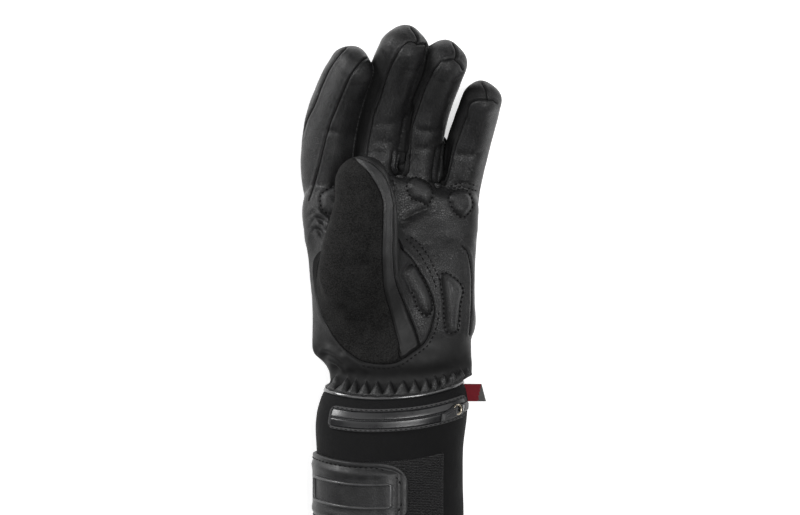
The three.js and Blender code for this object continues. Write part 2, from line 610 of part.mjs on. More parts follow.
// Loop patch, strap over it and the raised frame of the strap's badge.
const strapEdges = (turn) => {
  const corner = STRAP_CORNER;
  const past = Math.max(corner - (STRAP_TURNS[1] - turn) / turnsFor(1, 0, STRAP_DOWN + STRAP_WIDTH / 2), 0);
  const cut = corner - Math.sqrt(Math.max(corner ** 2 - past ** 2, 0.04 * corner ** 2));
  return [STRAP_DOWN + cut, STRAP_DOWN + STRAP_WIDTH - cut];
};
const strapBase = (turn) =>
  GAP + (LOOP_THICKNESS + GAP) * smoothstep(turn, LOOP_TURNS[0] - STRAP_RAMP, LOOP_TURNS[0] - STRAP_RAMP / 10);
add("loop_patch", slab(LOOP_TURNS, () => [STRAP_DOWN, STRAP_DOWN + STRAP_WIDTH], onSkin, LOOP_THICKNESS),
  0x202124, 0.95);
add("strap", slab(STRAP_TURNS, strapEdges, strapBase, STRAP_THICKNESS, STRAP_STEP), 0x1c1d1f, 0.6);
const badgeBase = (turn) => strapBase(turn) + STRAP_THICKNESS + GAP;
const badgeDown = STRAP_DOWN + STRAP_WIDTH / 2;
const badgeBox = (rim, thickness, base) => slab(
  [BADGE_TURNS[0] + turnsFor(rim, 0, badgeDown), BADGE_TURNS[1] - turnsFor(rim, 0, badgeDown)],
  () => [badgeDown - BADGE_WIDTH / 2 + rim, badgeDown + BADGE_WIDTH / 2 - rim], base, thickness, STRAP_STEP);
add("strap_badge", badgeBox(0, BADGE_THICKNESS, badgeBase)
  .subtract(badgeBox(BADGE_RIM, 4 * BADGE_THICKNESS, (turn) => badgeBase(turn) - BADGE_THICKNESS)),
  0x242528, 0.4);

// Tab: a tape folded on itself, standing out of the side seam.
function tab() {
  const root = cuffPoint(90, TAB_DOWN + TAB_LENGTH / 2, 0);
  const rise = TAB_THICKNESS / 2;
  const inner = rise - TAB_TAPE;
  const shape = new THREE.Shape();
  const seam = [0, 0.25, 0.5, 0.75, 1].map((share) => cuffPoint(90, TAB_DOWN + share * TAB_LENGTH, 0).x);
  const start = Math.max(...seam) + 2 * GAP;
  const fold = start + TAB_WIDTH - rise;
  shape.moveTo(start, -rise);
  shape.lineTo(fold, -rise);
  shape.absarc(fold, 0, rise, -Math.PI / 2, Math.PI / 2, false);
  shape.lineTo(start, rise);
  shape.lineTo(start, inner);
  shape.lineTo(fold, inner);
  shape.absarc(fold, 0, inner, Math.PI / 2, -Math.PI / 2, true);
  shape.lineTo(start, -inner);
  const geometry = new THREE.ExtrudeGeometry(shape,
    { depth: TAB_LENGTH, bevelEnabled: false, curveSegments: 6 });
  geometry.rotateX(Math.PI / 2);
  geometry.translate(0, root.y + TAB_LENGTH / 2, root.z);
  return fromGeometry(geometry);
}
add("label_tab", tab(), 0x8f1e33, 0.8);

// The finished group: every piece a mesh of its own, with the origin moved onto the flat of the back.
const glove = new THREE.Group();
glove.name = "heated_glove";
glove.position.y = -ORIGIN_SHARE * PALM_LENGTH;
for (const { name, body, color, roughness, metalness } of pieces) {
  const { vertProperties, triVerts } = body.getMesh();
  const geometry = new THREE.BufferGeometry();
  geometry.setAttribute("position", new THREE.BufferAttribute(Float32Array.from(vertProperties), 3));
  geometry.setIndex(new THREE.BufferAttribute(Uint32Array.from(triVerts), 1));
  geometry.computeVertexNormals();
  const mesh = new THREE.Mesh(geometry, new THREE.MeshStandardMaterial({ color, roughness, metalness }));
  mesh.name = name;
  glove.add(mesh);
}

export default glove;
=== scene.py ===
"""Looks of a padded winter glove, lying on its back with the palm up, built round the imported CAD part.

Shapes are worked out in millimetres in the row frame. The glove's own measures count Y from the wrist
line, and WRIST moves them into the row frame. Seam paths are in points of the photograph, and land on
the glove where the camera sees them.
"""

import itertools
import math

import bpy
import numpy as np
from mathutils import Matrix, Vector
from mathutils.bvhtree import BVHTree


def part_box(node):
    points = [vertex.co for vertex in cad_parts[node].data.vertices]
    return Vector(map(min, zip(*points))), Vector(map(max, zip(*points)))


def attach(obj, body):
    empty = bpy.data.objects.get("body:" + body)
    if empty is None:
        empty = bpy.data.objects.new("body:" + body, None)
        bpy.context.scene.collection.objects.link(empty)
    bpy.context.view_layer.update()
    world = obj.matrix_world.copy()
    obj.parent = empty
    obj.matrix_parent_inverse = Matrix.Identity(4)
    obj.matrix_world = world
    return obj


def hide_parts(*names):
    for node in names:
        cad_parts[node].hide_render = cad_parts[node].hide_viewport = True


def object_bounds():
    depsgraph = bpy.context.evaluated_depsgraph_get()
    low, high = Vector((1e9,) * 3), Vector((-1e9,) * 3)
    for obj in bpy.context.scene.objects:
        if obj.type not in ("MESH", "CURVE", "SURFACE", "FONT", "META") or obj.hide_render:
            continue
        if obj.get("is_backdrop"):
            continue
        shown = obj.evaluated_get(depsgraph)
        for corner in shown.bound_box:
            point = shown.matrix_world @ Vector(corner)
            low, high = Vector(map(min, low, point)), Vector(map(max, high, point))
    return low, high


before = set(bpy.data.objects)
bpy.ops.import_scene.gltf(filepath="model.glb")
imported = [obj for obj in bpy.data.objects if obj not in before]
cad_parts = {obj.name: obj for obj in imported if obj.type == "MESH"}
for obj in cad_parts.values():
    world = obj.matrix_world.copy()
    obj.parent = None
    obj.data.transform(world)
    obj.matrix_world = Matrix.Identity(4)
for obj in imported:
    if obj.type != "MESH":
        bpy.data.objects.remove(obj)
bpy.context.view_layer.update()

MM = 0.001
WRIST = -54.9

# Camera: straight above the glove.
EYE = np.array([3.6, 21.6, 1625.0])
PHOTO_CENTRE = np.array([400.0, 257.5])
PHOTO_PIXEL = 0.6
PIXEL_HEIGHT = 25.0

# Hand.
PALM_LENGTH = 122
PALM_WIDTH = 104
PALM_DEPTH = 46
PALM_SQUARENESS = 2.5
KNUCKLE_SQUARENESS = 3.2
WRIST_BAND = 4
WRIST_TILT = 0.055
PALM_SECTIONS = {
    "along": [0, 0.06, 0.1, 0.139, 0.19, 0.223, 0.385, 0.582, 0.73, 0.852, 0.926, 0.97, 1.0],
    "left": [0.372, 0.381, 0.41, 0.458, 0.472, 0.475, 0.486, 0.495, 0.522, 0.534, 0.524, 0.505, 0.465],
    "right": [0.45, 0.452, 0.448, 0.446, 0.447, 0.462, 0.466, 0.471, 0.48, 0.489, 0.489, 0.478, 0.44],
    "top": [1.13, 1.12, 1.1, 1.08, 1.06, 1.03, 0.96, 0.9, 0.84, 0.8, 0.79, 0.76, 0.67],
    "bottom": [0.04, 0.01, -0.02, -0.03, -0.03, -0.03, -0.03, -0.03, -0.03, -0.02, 0.02, 0.07, 0.16],
}

# The knuckles fall away to both sides of the middle: how far, between which widths and between which lengths.
KNUCKLE_FALL = {"left": 0.045, "right": 0.072, "starts": 0.04, "ends": 0.3, "from": 0.55, "to": 0.95}

# As shares of the palm's length: where the wrist's tilt ends, and from where a grown palm is longer too.
TILT_ENDS = 0.4
KNUCKLE_GROWTH_STARTS = 0.85

# Where the gathered band starts, hidden inside the cuff: down from the wrist line and off the cuff's skin.
BAND_START = ((5, -2.4), (2, -2.2), (0.3, -1.7), (-0.9, -0.8))
BAND_LOW_DOWN = -1.8
BAND_STEPS = 8

# Fingers: across, from and lift place the root, lean holds the sideways angle at root, middle and tip.
FINGERS = {
    "index_finger": dict(length=108, width=30.6, depth=26, across=-0.35, start=0.82, lift=0.36,
                         lean=[-12, 13, 32], curl=46, roll=38, taper=0.87),
    "middle_finger": dict(length=120, width=28, depth=26.5, across=-0.112, start=0.82, lift=0.36,
                          lean=[1, 12, 27], curl=52, roll=24, taper=1.0),
    "ring_finger": dict(length=110.5, width=24.8, depth=24.6, across=0.124, start=0.82, lift=0.36,
                        lean=[0, 12, 30], curl=52, roll=20, taper=1.06),
    "little_finger": dict(length=88, width=23.4, depth=22.5, across=0.37, start=0.79, lift=0.35,
                          lean=[3, 14, 20], curl=46, roll=22, taper=0.97),
}
FINGER_SQUARENESS = 2.6
FINGER_GIRTH = {"along": [0, 0.22, 0.42, 0.62, 0.82, 1], "girth": [0.96, 1.02, 1.06, 1.08, 1.06, 1.0]}
FINGER_STEPS = 7
CURL_POWER = 1.4
TIP_ROUNDNESS = 1.08
TIP_ANGLES = np.radians(np.linspace(4, 88, 14))
TIP_POWER = 0.9

# Thumb.
THUMB_LENGTH = 112
THUMB_WIDTH = 50
THUMB_DEPTH = 43
THUMB_SQUARENESS = 2.3
THUMB_SECTIONS = {
    "across": [-0.1, -0.146, -0.189, -0.187, -0.17, -0.163, -0.176],
    "along": [0.28, 0.41, 0.57, 0.73, 0.86, 0.97, 1.06],
    "rise": [0.46, 0.68, 0.95, 1.17, 1.31, 1.39, 1.43],
    "width": [0.82, 0.99, 1.03, 0.915, 0.805, 0.735, 0.65],
    "depth": [0.8, 0.96, 1.0, 0.93, 0.86, 0.81, 0.74],
}

# Cuff.
CUFF_LENGTH = 84
CUFF_WIDTH = 90
CUFF_DEPTH = 59
CUFF_WALL = 3
CUFF_SQUARENESS = 2.25
CUFF_SINK = 0.025
CUFF_DROOP = 6.1
CUFF_SECTIONS = {
    "along": [0, 0.06, 0.13, 0.22, 0.44, 1.0],
    "left": [0.464, 0.49, 0.512, 0.524, 0.516, 0.512],
    "right": [0.462, 0.482, 0.492, 0.485, 0.468, 0.462],
    "depth": [0.86, 0.92, 0.96, 0.98, 1.0, 1.01],
}

# The side of the cubes that the joined skin is made from, and how far every skin keeps off the floor.
VOXEL = 0.58
FLOOR_GAP = 0.02

# In pixels of the photograph: the step along a smoothed path, and how far outlines are felt.
PATH_STEP = 1.5
OUTLINE_REACH = 20.0

# Millimetres to a degree round the cuff, at its side seams and its zip, and at the strap.
ZIP_MM_PER_TURN = 0.72
STRAP_MM_PER_TURN = 0.8

# Seam paths, in points of the photograph.
SEAMS = {
    "index_outer": [
        (346, 47), (341, 52), (334, 61), (328, 70), (323, 81), (319, 91), (316, 100), (312, 109),
        (307, 119), (304, 128), (302, 137),
    ],
    "index_inner": [
        (368, 57), (362, 61), (356, 68), (350, 77), (345, 88), (340, 100), (335, 112), (331, 121),
        (327, 133), (324, 145), (321, 157), (318, 170), (314, 183), (311, 192), (308, 200),
    ],
    "middle_side": [
        (427, 44), (422, 44), (418, 44), (414, 42), (410, 41), (406, 43), (402, 47), (399, 51), (396, 57),
        (392, 64), (389, 71), (386, 79), (383, 87), (379, 100), (376, 108), (373, 116), (371, 126),
        (369, 136), (367, 146), (366, 157),
    ],
    "middle_tip": [(411, 28), (415, 33), (417.5, 38), (417.5, 44)],
    "middle_right": [
        (427, 44), (425, 60), (421, 76), (416, 88), (411, 100), (408, 110), (404, 120), (402, 130),
    ],
    "ring_side": [
        (463, 70), (461, 65), (457, 61), (453, 58.5), (449, 59), (446, 60), (441, 61), (438, 65), (433, 71),
        (430, 77), (427, 83), (424, 90), (421, 98), (419, 106), (416, 114), (413, 122), (411, 132),
        (410, 142), (410, 150), (409, 158),
    ],
    "ring_tip": [(453, 43), (456, 49), (457, 54), (456, 59)],
    "little_side": [
        (497, 103), (494, 100.5), (489, 99.8), (484, 99.7), (479, 100), (474, 101.5), (470, 104),
        (467, 110), (466, 117), (463, 124), (461, 130), (458, 138), (456, 144), (454, 150), (452, 156),
        (451, 162), (449, 170), (447, 177),
    ],
    "little_tip": [(482, 83), (485, 88), (487, 94), (487.5, 99.5)],
    "little_base_upper": [(449, 187), (455, 184), (462, 183), (470, 184), (477, 186)],
    "little_base_lower": [(448, 191), (456, 187.5), (464, 187), (470, 189), (477, 191)],
    "oval": [
        (398, 246), (404, 250), (411, 257), (416, 264), (421, 273), (426, 282), (430, 291), (433, 300),
        (434.5, 310), (433, 322), (429, 334), (424, 343), (419, 347), (412, 352), (404, 358), (398, 361.5),
        (390, 363.5), (382, 364), (372, 363), (362, 361), (352, 355), (343, 348), (335, 339), (328, 328),
        (322, 317), (318, 305), (315, 293), (313, 280),
    ],
    "thumb_seam": [
        (396, 200), (394, 215), (394, 235), (394, 255), (395, 270), (397, 282), (400, 293), (405, 305),
        (411, 320), (416, 333), (419, 347),
    ],
    "edge_overlay": [(463, 246), (467, 250), (470, 258), (472, 270), (472.5, 290), (472, 315), (470, 335)],
    "palm_crease": [(433, 207), (424, 210), (414, 214), (404, 219)],
}
CUFF_SIDE_SEAM = [(318.5, 408), (320, 420), (323, 432), (325, 445), (327, 456)]
FAINT_SEAMS = ("palm_crease", "little_base_upper", "little_base_lower")

# Rolled leather round the crotches between fingers.
RIMS = {
    "middle_ring": [
        (394, 150), (392, 160), (391, 168), (393, 173), (398, 177), (403, 177.5), (407, 174), (409, 166),
        (409, 155),
    ],
    "ring_little": [
        (447, 177), (444, 183), (441, 187), (437, 188), (434, 184), (433, 176), (434, 168), (435, 160),
        (436, 152), (437, 146),
    ],
}

# Hollows between the fingers, pressed in and darkened with painted shade.
HOLLOWS = {
    "middle_ring": [
        (410, 98), (405, 116), (402, 132), (400.5, 146), (399.5, 158), (401, 164), (404, 163), (407, 156),
        (409, 146), (410.5, 132), (412, 118), (413, 104),
    ],
    "ring_little": [
        (443, 138), (440.5, 150), (439.5, 164), (440, 176), (442.5, 182), (445.5, 179), (447.5, 170),
        (449.5, 160), (452, 148), (455, 136), (449, 135),
    ],
}

# Closed outlines of what is set into the hand's surface. Suede and stripe meet along one edge.
SUEDE_EDGE = [
    (401, 358), (399, 345), (395, 330), (391, 315), (387, 300), (384, 285), (383, 270), (382.5, 255),
    (383, 235), (383.5, 215), (383, 200), (380, 191), (375, 182), (370, 174), (364, 167), (358, 161),
]
OUTLINES = {
    "suede": [
        (352, 152), (345, 153), (337, 158), (332, 164), (330, 173), (329, 185), (328, 200), (326, 215),
        (323, 226), (320, 238), (317, 248), (313, 258), (311, 268), (312, 280), *SEAMS["oval"][26:14:-1],
        *SUEDE_EDGE,
    ],
    "stripe": [
        (352, 156), (362, 158), (372, 163), (381, 171), (388, 182), (392, 193), (394, 205), (394, 220),
        (394, 240), *SEAMS["thumb_seam"][3:], *SEAMS["oval"][13:15], *SUEDE_EDGE,
    ],
    "oval": [(394, 238), *SEAMS["oval"], (313, 262)],
    "pad_index": [
        (334, 184), (328, 187), (322, 191), (318.5, 196), (319, 203), (320, 209), (324, 213), (328, 216),
        (337, 216), (345, 210), (347, 198), (343, 187),
    ],
    "pad_middle": [
        (366, 190), (370, 182), (378, 177), (388, 176), (394, 180), (395, 187), (393, 196), (388, 204),
        (378, 208), (369, 203),
    ],
    "pad_ring": [
        (407, 181), (410, 177.5), (416, 175.5), (421, 177), (427, 180), (432, 185), (434, 192), (434, 197),
        (431, 203), (428, 208), (424, 205), (417, 202), (410, 200), (408, 195), (405, 188),
    ],
    "pad_little": [
        (447, 196), (450, 191), (455, 188.5), (462, 187.5), (468, 189), (472, 194), (474, 200), (474, 208),
        (470, 214), (466, 218), (461, 219), (456, 216), (452, 211), (449, 204),
    ],
    "pad_heel": [
        (439, 274), (444, 271), (450, 273), (456, 277), (461, 282), (464, 287), (462, 305), (460, 325),
        (459, 332), (455, 334), (450, 335), (446, 332), (444, 325), (443, 315), (442, 300), (440, 285),
    ],
    "pad_thumb": [
        (402, 275), (404, 268), (407, 264), (410, 263), (416, 265), *SEAMS["oval"][4:8], (433, 311),
        (431, 316), (427, 317.5), (422, 315), (419, 312), (416, 307), (414, 300), (410, 292), (406, 283),
    ],
}
PADS = [name for name in OUTLINES if name.startswith("pad_")]
PAD_LIFT = 2.2

# Folds of the leather: a path, its height in mm (a dip where negative) and its width.
FOLDS = [
    ([(313, 212), (320, 214), (327, 220), (331, 228)], 1.36, 2.2),
    ([(312, 222), (319, 224), (325, 231), (327, 240)], 1.53, 2.2),
    ([(312, 232), (317, 235), (321, 243), (321, 252)], 1.19, 2.0),
    ([(312, 217), (320, 219), (327, 226)], -1.36, 1.6),
    ([(312, 227), (319, 230), (324, 240)], -1.36, 1.6),
    ([(317, 348), (326, 350), (336, 356), (345, 365), (352, 374)], 1.53, 2.6),
    ([(323, 358), (331, 360), (338, 366), (343, 375)], 1.53, 2.2),
    ([(319, 353), (329, 355), (338, 361), (345, 370)], -1.53, 1.8),
    ([(328, 364), (333, 368), (336, 376)], -1.19, 1.6),
    ([(340, 352), (352, 360), (362, 368), (368, 375)], 1.19, 2.2),
    (SEAMS["palm_crease"], -1.0, 2.6),
    ([(372, 121), (382, 124), (393, 124), (403, 121)], -0.4, 2.6),
    ([(369, 140), (380, 143), (392, 143), (400, 140)], -0.5, 2.8),
    ([(368, 150), (380, 153), (392, 152)], -0.6, 2.0),
    ([(369, 160), (381, 163), (391, 162)], 0.5, 2.0),
    ([(396, 160), (401, 167), (406, 173)], 0.8, 1.6),
    ([(406, 160), (401, 167), (396, 173)], 0.8, 1.6),
    ([(412, 128), (424, 131), (436, 131), (445, 128)], -0.7, 2.2),
    ([(411, 146), (422, 149), (434, 147)], -0.6, 2.2),
    ([(452, 152), (463, 155), (475, 155), (486, 152)], -0.7, 2.2),
    ([(323, 128), (330, 131), (340, 131)], -0.85, 2.0),
    ([(440, 240), (452, 236), (464, 238), (474, 244)], -0.6, 3.2),
    ([(404, 228), (412, 236), (422, 244), (432, 250)], -0.5, 3.0),
]

# Where looks fade in or out, across (X) or down (Y) the photograph.
STRIPE_SEAM_X = (360, 366)
SIDE_SHADE_X = 330
SIDE_SHADE_Y = (205, 262)
TONE_FADE_Y = (356, 318)
STRIPE_SHADE_Y = (330, 190)

# Side panels of the fingers that get a painted shadow: for each, the seam that it starts at, its top and its
# right end.
SIDE_PANEL_SHADOWS = {
    "middle_finger": ("middle_side", 60, 500),
    "ring_finger": ("ring_side", 43, 442),
    "little_finger": ("little_side", 84, 488),
}

# Line of painted shade between the heel pad and the thumb.
HEEL_SHADE_LINE = [(442, 280), (444, 300), (446, 318), (449, 330)]

# Where the gathers above the piping start, across the photograph.
PLEAT_APEXES = [333, 345, 354, 365, 377, 390, 403, 414, 426, 436, 445, 455, 464]

# Rows of stitches: a path, and how far from it they are, to the left of its direction.
STITCH_ROWS = {
    "thumb_gusset_stitches": [
        ([(404, 238), (409, 241), (414, 247), (420, 254), (425, 263), (430, 272), (434, 281), (437, 290)], 0),
        ([(409, 236), (415, 240), (421, 246), (427, 254), (432, 263), (436, 272), (440, 281), (441, 288)], 0),
        (SEAMS["oval"][8:20], 4.5),
    ],
    "palm_stitches": [
        (SEAMS["edge_overlay"], -1.5),
        (SEAMS["little_base_upper"], 0),
        (SEAMS["little_base_lower"], 0),
    ],
}


def smoothstep(x, low, high):
    t = np.clip((x - low) / (high - low), 0, 1)
    return t * t * (3 - 2 * t)


def lerp(a, b, share):
    return a + (b - a) * share


def bell(x, width, centre=0.0):
    """1 at the centre, falling off smoothly on both sides."""
    return np.exp(-(((x - centre) / width) ** 2))


def keep_off_floor(points):
    points[:, 2] = np.maximum(points[:, 2], FLOOR_GAP)
    return points


def rows_at(table, column, at, knots="along"):
    """A table's column between its rows, as a smooth curve through them."""
    x = np.asarray(table[knots], float)
    y = np.asarray(table[column], float)
    slope = np.gradient(y, x)
    at = np.clip(np.asarray(at, float), x[0], x[-1])
    i = np.clip(np.searchsorted(x, at, side="right") - 1, 0, len(x) - 2)
    h = x[i + 1] - x[i]
    t = (at - x[i]) / h
    return ((2 * t**3 - 3 * t**2 + 1) * y[i] + (t**3 - 2 * t**2 + t) * h * slope[i]
            + (3 * t**2 - 2 * t**3) * y[i + 1] + (t**3 - t**2) * h * slope[i + 1])


def superellipse(angle, squareness):
    c, s = np.cos(angle), np.sin(angle)
    return np.sign(c) * np.abs(c) ** (2 / squareness), np.sign(s) * np.abs(s) ** (2 / squareness)


def unit(v):
    return v / np.maximum(np.linalg.norm(v, axis=-1, keepdims=True), 1e-12)


def cuff_point(turn, down, height):
    """A point on the cuff: degrees round it from the front, mm down from the wrist line, mm off its skin."""
    turn, down, height = np.broadcast_arrays(*(np.asarray(a, float) for a in (turn, down, height)))
    share = down / CUFF_LENGTH
    left = rows_at(CUFF_SECTIONS, "left", share) * CUFF_WIDTH
    right = rows_at(CUFF_SECTIONS, "right", share) * CUFF_WIDTH
    depth = rows_at(CUFF_SECTIONS, "depth", share) * CUFF_DEPTH / 2
    angle = np.radians(turn)
    v, u = superellipse(angle, CUFF_SQUARENESS)
    x = (right - left) / 2 + u * ((left + right) / 2 + height)
    y = WRIST_TILT * x - down - CUFF_DROOP * np.maximum(np.cos(angle), 0) ** 2
    z = CUFF_DEPTH * (0.5 - CUFF_SINK) + v * (depth + height)
    return np.stack([x, y + WRIST, np.maximum(z, np.maximum(-height, 0))], -1)


def palm_rings(grow=0.0, sides=200, steps=120):
    """Rings round the hand without its fingers, from the wrist to the knuckles."""
    along = np.linspace(0, 1, steps)[:, None]
    angle = np.linspace(0, 2 * math.pi, sides, endpoint=False)[None, :]
    squareness = lerp(PALM_SQUARENESS, KNUCKLE_SQUARENESS, along)
    left, right, top, bottom = (rows_at(PALM_SECTIONS, c, along) for c in ("left", "right", "top", "bottom"))
    u, v = superellipse(angle, squareness)
    x = (right - left) / 2 * PALM_WIDTH + u * ((left + right) / 2 * PALM_WIDTH + grow)
    z = (top + bottom) / 2 * PALM_DEPTH + v * ((top - bottom) / 2 * PALM_DEPTH + grow)
    fall = (np.where(x > 0, KNUCKLE_FALL["right"], KNUCKLE_FALL["left"])
            * smoothstep(along, KNUCKLE_FALL["from"], KNUCKLE_FALL["to"])
            * smoothstep(np.abs(x) / PALM_WIDTH, KNUCKLE_FALL["starts"], KNUCKLE_FALL["ends"]))
    y = (WRIST_BAND + (along - fall) * PALM_LENGTH + WRIST_TILT * x * (1 - smoothstep(along, 0, TILT_ENDS))
         + smoothstep(along, KNUCKLE_GROWTH_STARTS, 1) * grow)
    return np.stack([x, y + WRIST, np.maximum(z, max(-grow, 0))], -1)


def band_rings(sides=200):
    """Rings of the gathered band, from inside the cuff up to the hand, in the palm's order round."""
    turn = 90 - np.linspace(0, 360, sides, endpoint=False)
    top = palm_rings(0, sides, 2)[0]
    low = cuff_point(turn, BAND_LOW_DOWN, 0)
    shares = np.linspace(0, 1, BAND_STEPS + 1)[:-1]
    hidden = [cuff_point(turn, down, height) for down, height in BAND_START]
    return hidden + [low * (1 - s) + top * s for s in shares]


def tube_rings(centres, aheads, widths, depths, squareness, roll, sides=96):
    """Rings round a path with a round tip. Widths and depths are half sizes."""
    tip = aheads[-1] * (TIP_ROUNDNESS * depths[-1] * np.sin(TIP_ANGLES))[:, None]
    centres = np.vstack([centres, centres[-1] + tip])
    shrink = np.concatenate([np.ones(len(widths)), np.cos(TIP_ANGLES) ** TIP_POWER])
    aheads, widths, depths = (np.concatenate([a, np.repeat(a[-1:], len(TIP_ANGLES), 0)])
                              for a in (aheads, widths, depths))
    side, out = tube_axes(aheads, roll)
    u, v = superellipse(np.linspace(0, 2 * math.pi, sides, endpoint=False), squareness)
    return (centres[:, None] + side[:, None] * (u * (widths * shrink)[:, None])[..., None]
            + out[:, None] * (v * (depths * shrink)[:, None])[..., None])


def tube_axes(aheads, roll=0.0):
    """Sideways and outward directions of a tube, turned about its path by roll degrees."""
    side = unit(np.cross(aheads, [0, 0, 1.0]))
    out = np.cross(side, aheads)
    c, s = math.cos(math.radians(roll)), math.sin(math.radians(roll))
    return side * c + np.cross(aheads, side) * s, out * c + np.cross(aheads, out) * s


def finger_path(spec, samples=60):
    """Centres, directions and half sizes along a finger, from inside the hand."""
    def ahead_at(share):
        lean = np.radians(np.interp(share, [0, 0.5, 1], spec["lean"]))
        pitch = np.radians(spec["curl"] * share**CURL_POWER)
        return np.stack([np.sin(lean) * np.cos(pitch), np.cos(lean) * np.cos(pitch), np.sin(pitch)], -1)

    straight = spec["length"] - TIP_ROUNDNESS * spec["depth"] / 2
    knots = np.linspace(0, 1, FINGER_STEPS + 1)
    steps = ahead_at(knots[:-1]) * straight / FINGER_STEPS
    start = [spec["across"] * PALM_WIDTH, WRIST_BAND + spec["start"] * PALM_LENGTH + WRIST,
             spec["lift"] * PALM_DEPTH]
    nodes = np.vstack([[0, 0, 0], np.cumsum(steps, 0)]) + start
    shares = np.linspace(0, 1, samples)
    table = {"along": knots, "x": nodes[:, 0], "y": nodes[:, 1], "z": nodes[:, 2]}
    centres = np.stack([rows_at(table, c, shares) for c in "xyz"], -1)
    girth = rows_at(FINGER_GIRTH, "girth", shares) * lerp(1, spec["taper"], shares**2) / 2
    return centres, ahead_at(shares), spec["width"] * girth, spec["depth"] * girth


def thumb_path(samples=70):
    """Centres, directions and half sizes along the thumb."""
    count = len(THUMB_SECTIONS["across"])
    table = dict(THUMB_SECTIONS, knot=np.linspace(0, 1, count))
    shares = np.linspace(0, 1, samples)
    across, along, rise, width, depth = (
        rows_at(table, c, shares, "knot") for c in ("across", "along", "rise", "width", "depth"))
    centres = np.stack([across * PALM_WIDTH, along * THUMB_LENGTH + WRIST, rise * PALM_DEPTH], -1)
    return centres, unit(np.gradient(centres, axis=0)), width * THUMB_WIDTH / 2, depth * THUMB_DEPTH / 2


def loft_faces(rings, sides, closed=False):
    """Quads between rings of points, which are numbered ring after ring."""
    i, j = np.meshgrid(np.arange(rings if closed else rings - 1), np.arange(sides), indexing="ij")
    k, n = (j + 1) % sides, (i + 1) % rings
    return np.stack([i * sides + j, i * sides + k, n * sides + k, n * sides + j], -1).reshape(-1, 4)


def mesh_object(name, points, faces, caps=()):
    """A smooth-shaded mesh from points in mm. Caps are rings that get one face each."""
    mesh = bpy.data.meshes.new(name)
    if caps:
        mesh.from_pydata((points * MM).tolist(), [], faces.tolist() + list(caps))
    else:
        mesh.vertices.add(len(points))
        mesh.vertices.foreach_set("co", (points * MM).astype(np.float32).ravel())
        mesh.loops.add(faces.size)
        mesh.loops.foreach_set("vertex_index", faces.ravel().astype(np.int32))
        mesh.polygons.add(len(faces))
        mesh.polygons.foreach_set("loop_start", np.arange(0, faces.size, 4, dtype=np.int32))
        mesh.update(calc_edges=True)
    mesh.shade_smooth()
    obj = bpy.data.objects.new(name, mesh)
    bpy.context.scene.collection.objects.link(obj)
    return obj


def closed_loft(name, rings):
    """A loft through rings of points, capped at both ends."""
    count, sides = len(rings), len(rings[0])
    ends = [list(range(sides))[::-1], list(range((count - 1) * sides, count * sides))]
    return mesh_object(name, np.concatenate(rings), loft_faces(count, sides), ends)


def mesh_arrays(obj):
    mesh = obj.data
    points = np.empty(len(mesh.vertices) * 3, np.float32)
    mesh.vertices.foreach_get("co", points)
    corners = np.empty(len(mesh.loops), np.int32)
    mesh.loops.foreach_get("vertex_index", corners)
    starts = np.empty(len(mesh.polygons), np.int32)
    mesh.polygons.foreach_get("loop_start", starts)
    totals = np.empty(len(mesh.polygons), np.int32)
    mesh.polygons.foreach_get("loop_total", totals)
    quads = corners[starts[totals == 4][:, None] + np.arange(4)]
    return points.reshape(-1, 3).astype(float) / MM, quads


def point_normals(points, quads):
    a, b, c, d = (points[quads[:, i]] for i in range(4))
    normal = np.cross(c - a, d - b)
    total = np.zeros_like(points)
    for corner in range(4):
        for axis in range(3):
            total[:, axis] += np.bincount(quads[:, corner], normal[:, axis], len(points))
    return unit(total)


RELAX_STEP, TAUBIN_STEP = 0.5, -0.53


def compact(faces):
    """Numbers of the points that faces use, and the faces with those points numbered anew."""
    used, renumbered = np.unique(faces, return_inverse=True)
    return used, renumbered.reshape(faces.shape)


def relax(points, quads, weight, rounds, taubin=False):
    """Moves each point towards its neighbours' middle, by its weight. Taubin rounds keep the volume."""
    used, faces = compact(quads[(weight > 0)[quads].any(1)])
    moved, weight = points[used], weight[used]
    edges = np.concatenate([faces[:, [0, 1]], faces[:, [1, 2]], faces[:, [2, 3]], faces[:, [3, 0]]])
    a, b = edges[:, 0], edges[:, 1]
    degree = np.maximum(np.bincount(a, minlength=len(used)) + np.bincount(b, minlength=len(used)), 1)
    for i in range(rounds):
        total = np.stack([np.bincount(a, m[b], len(used)) + np.bincount(b, m[a], len(used))
                          for m in moved.T], -1)
        step = TAUBIN_STEP if taubin and i % 2 else RELAX_STEP
        moved = moved + (total / degree[:, None] - moved) * (weight * step)[:, None]
    points = points.copy()
    points[used] = moved
    return points


def to_photo(points):
    """Where the camera sees points, in pixels of the photograph."""
    scale = (EYE[2] - PIXEL_HEIGHT) / (EYE[2] - points[:, 2]) / PHOTO_PIXEL
    return PHOTO_CENTRE + (points[:, :2] - EYE[:2]) * scale[:, None] * [1, -1]


def smooth_path(path, closed=False):
    """A path's points along a smooth curve, evenly spaced."""
    path = np.asarray(path, float)
    if closed:
        path = np.vstack([path, path[:1]])
    lengths = np.concatenate([[0], np.cumsum(np.linalg.norm(np.diff(path, axis=0), axis=1))])
    table = {"along": lengths, "x": path[:, 0], "y": path[:, 1]}
    at = np.linspace(0, lengths[-1], max(int(lengths[-1] / PATH_STEP), 2) + 1)
    return np.stack([rows_at(table, "x", at), rows_at(table, "y", at)], -1)


def path_distance(points, path, reach):
    """Distance of each point from a path, up to reach."""
    return np.abs(signed_distance(points, path, reach))


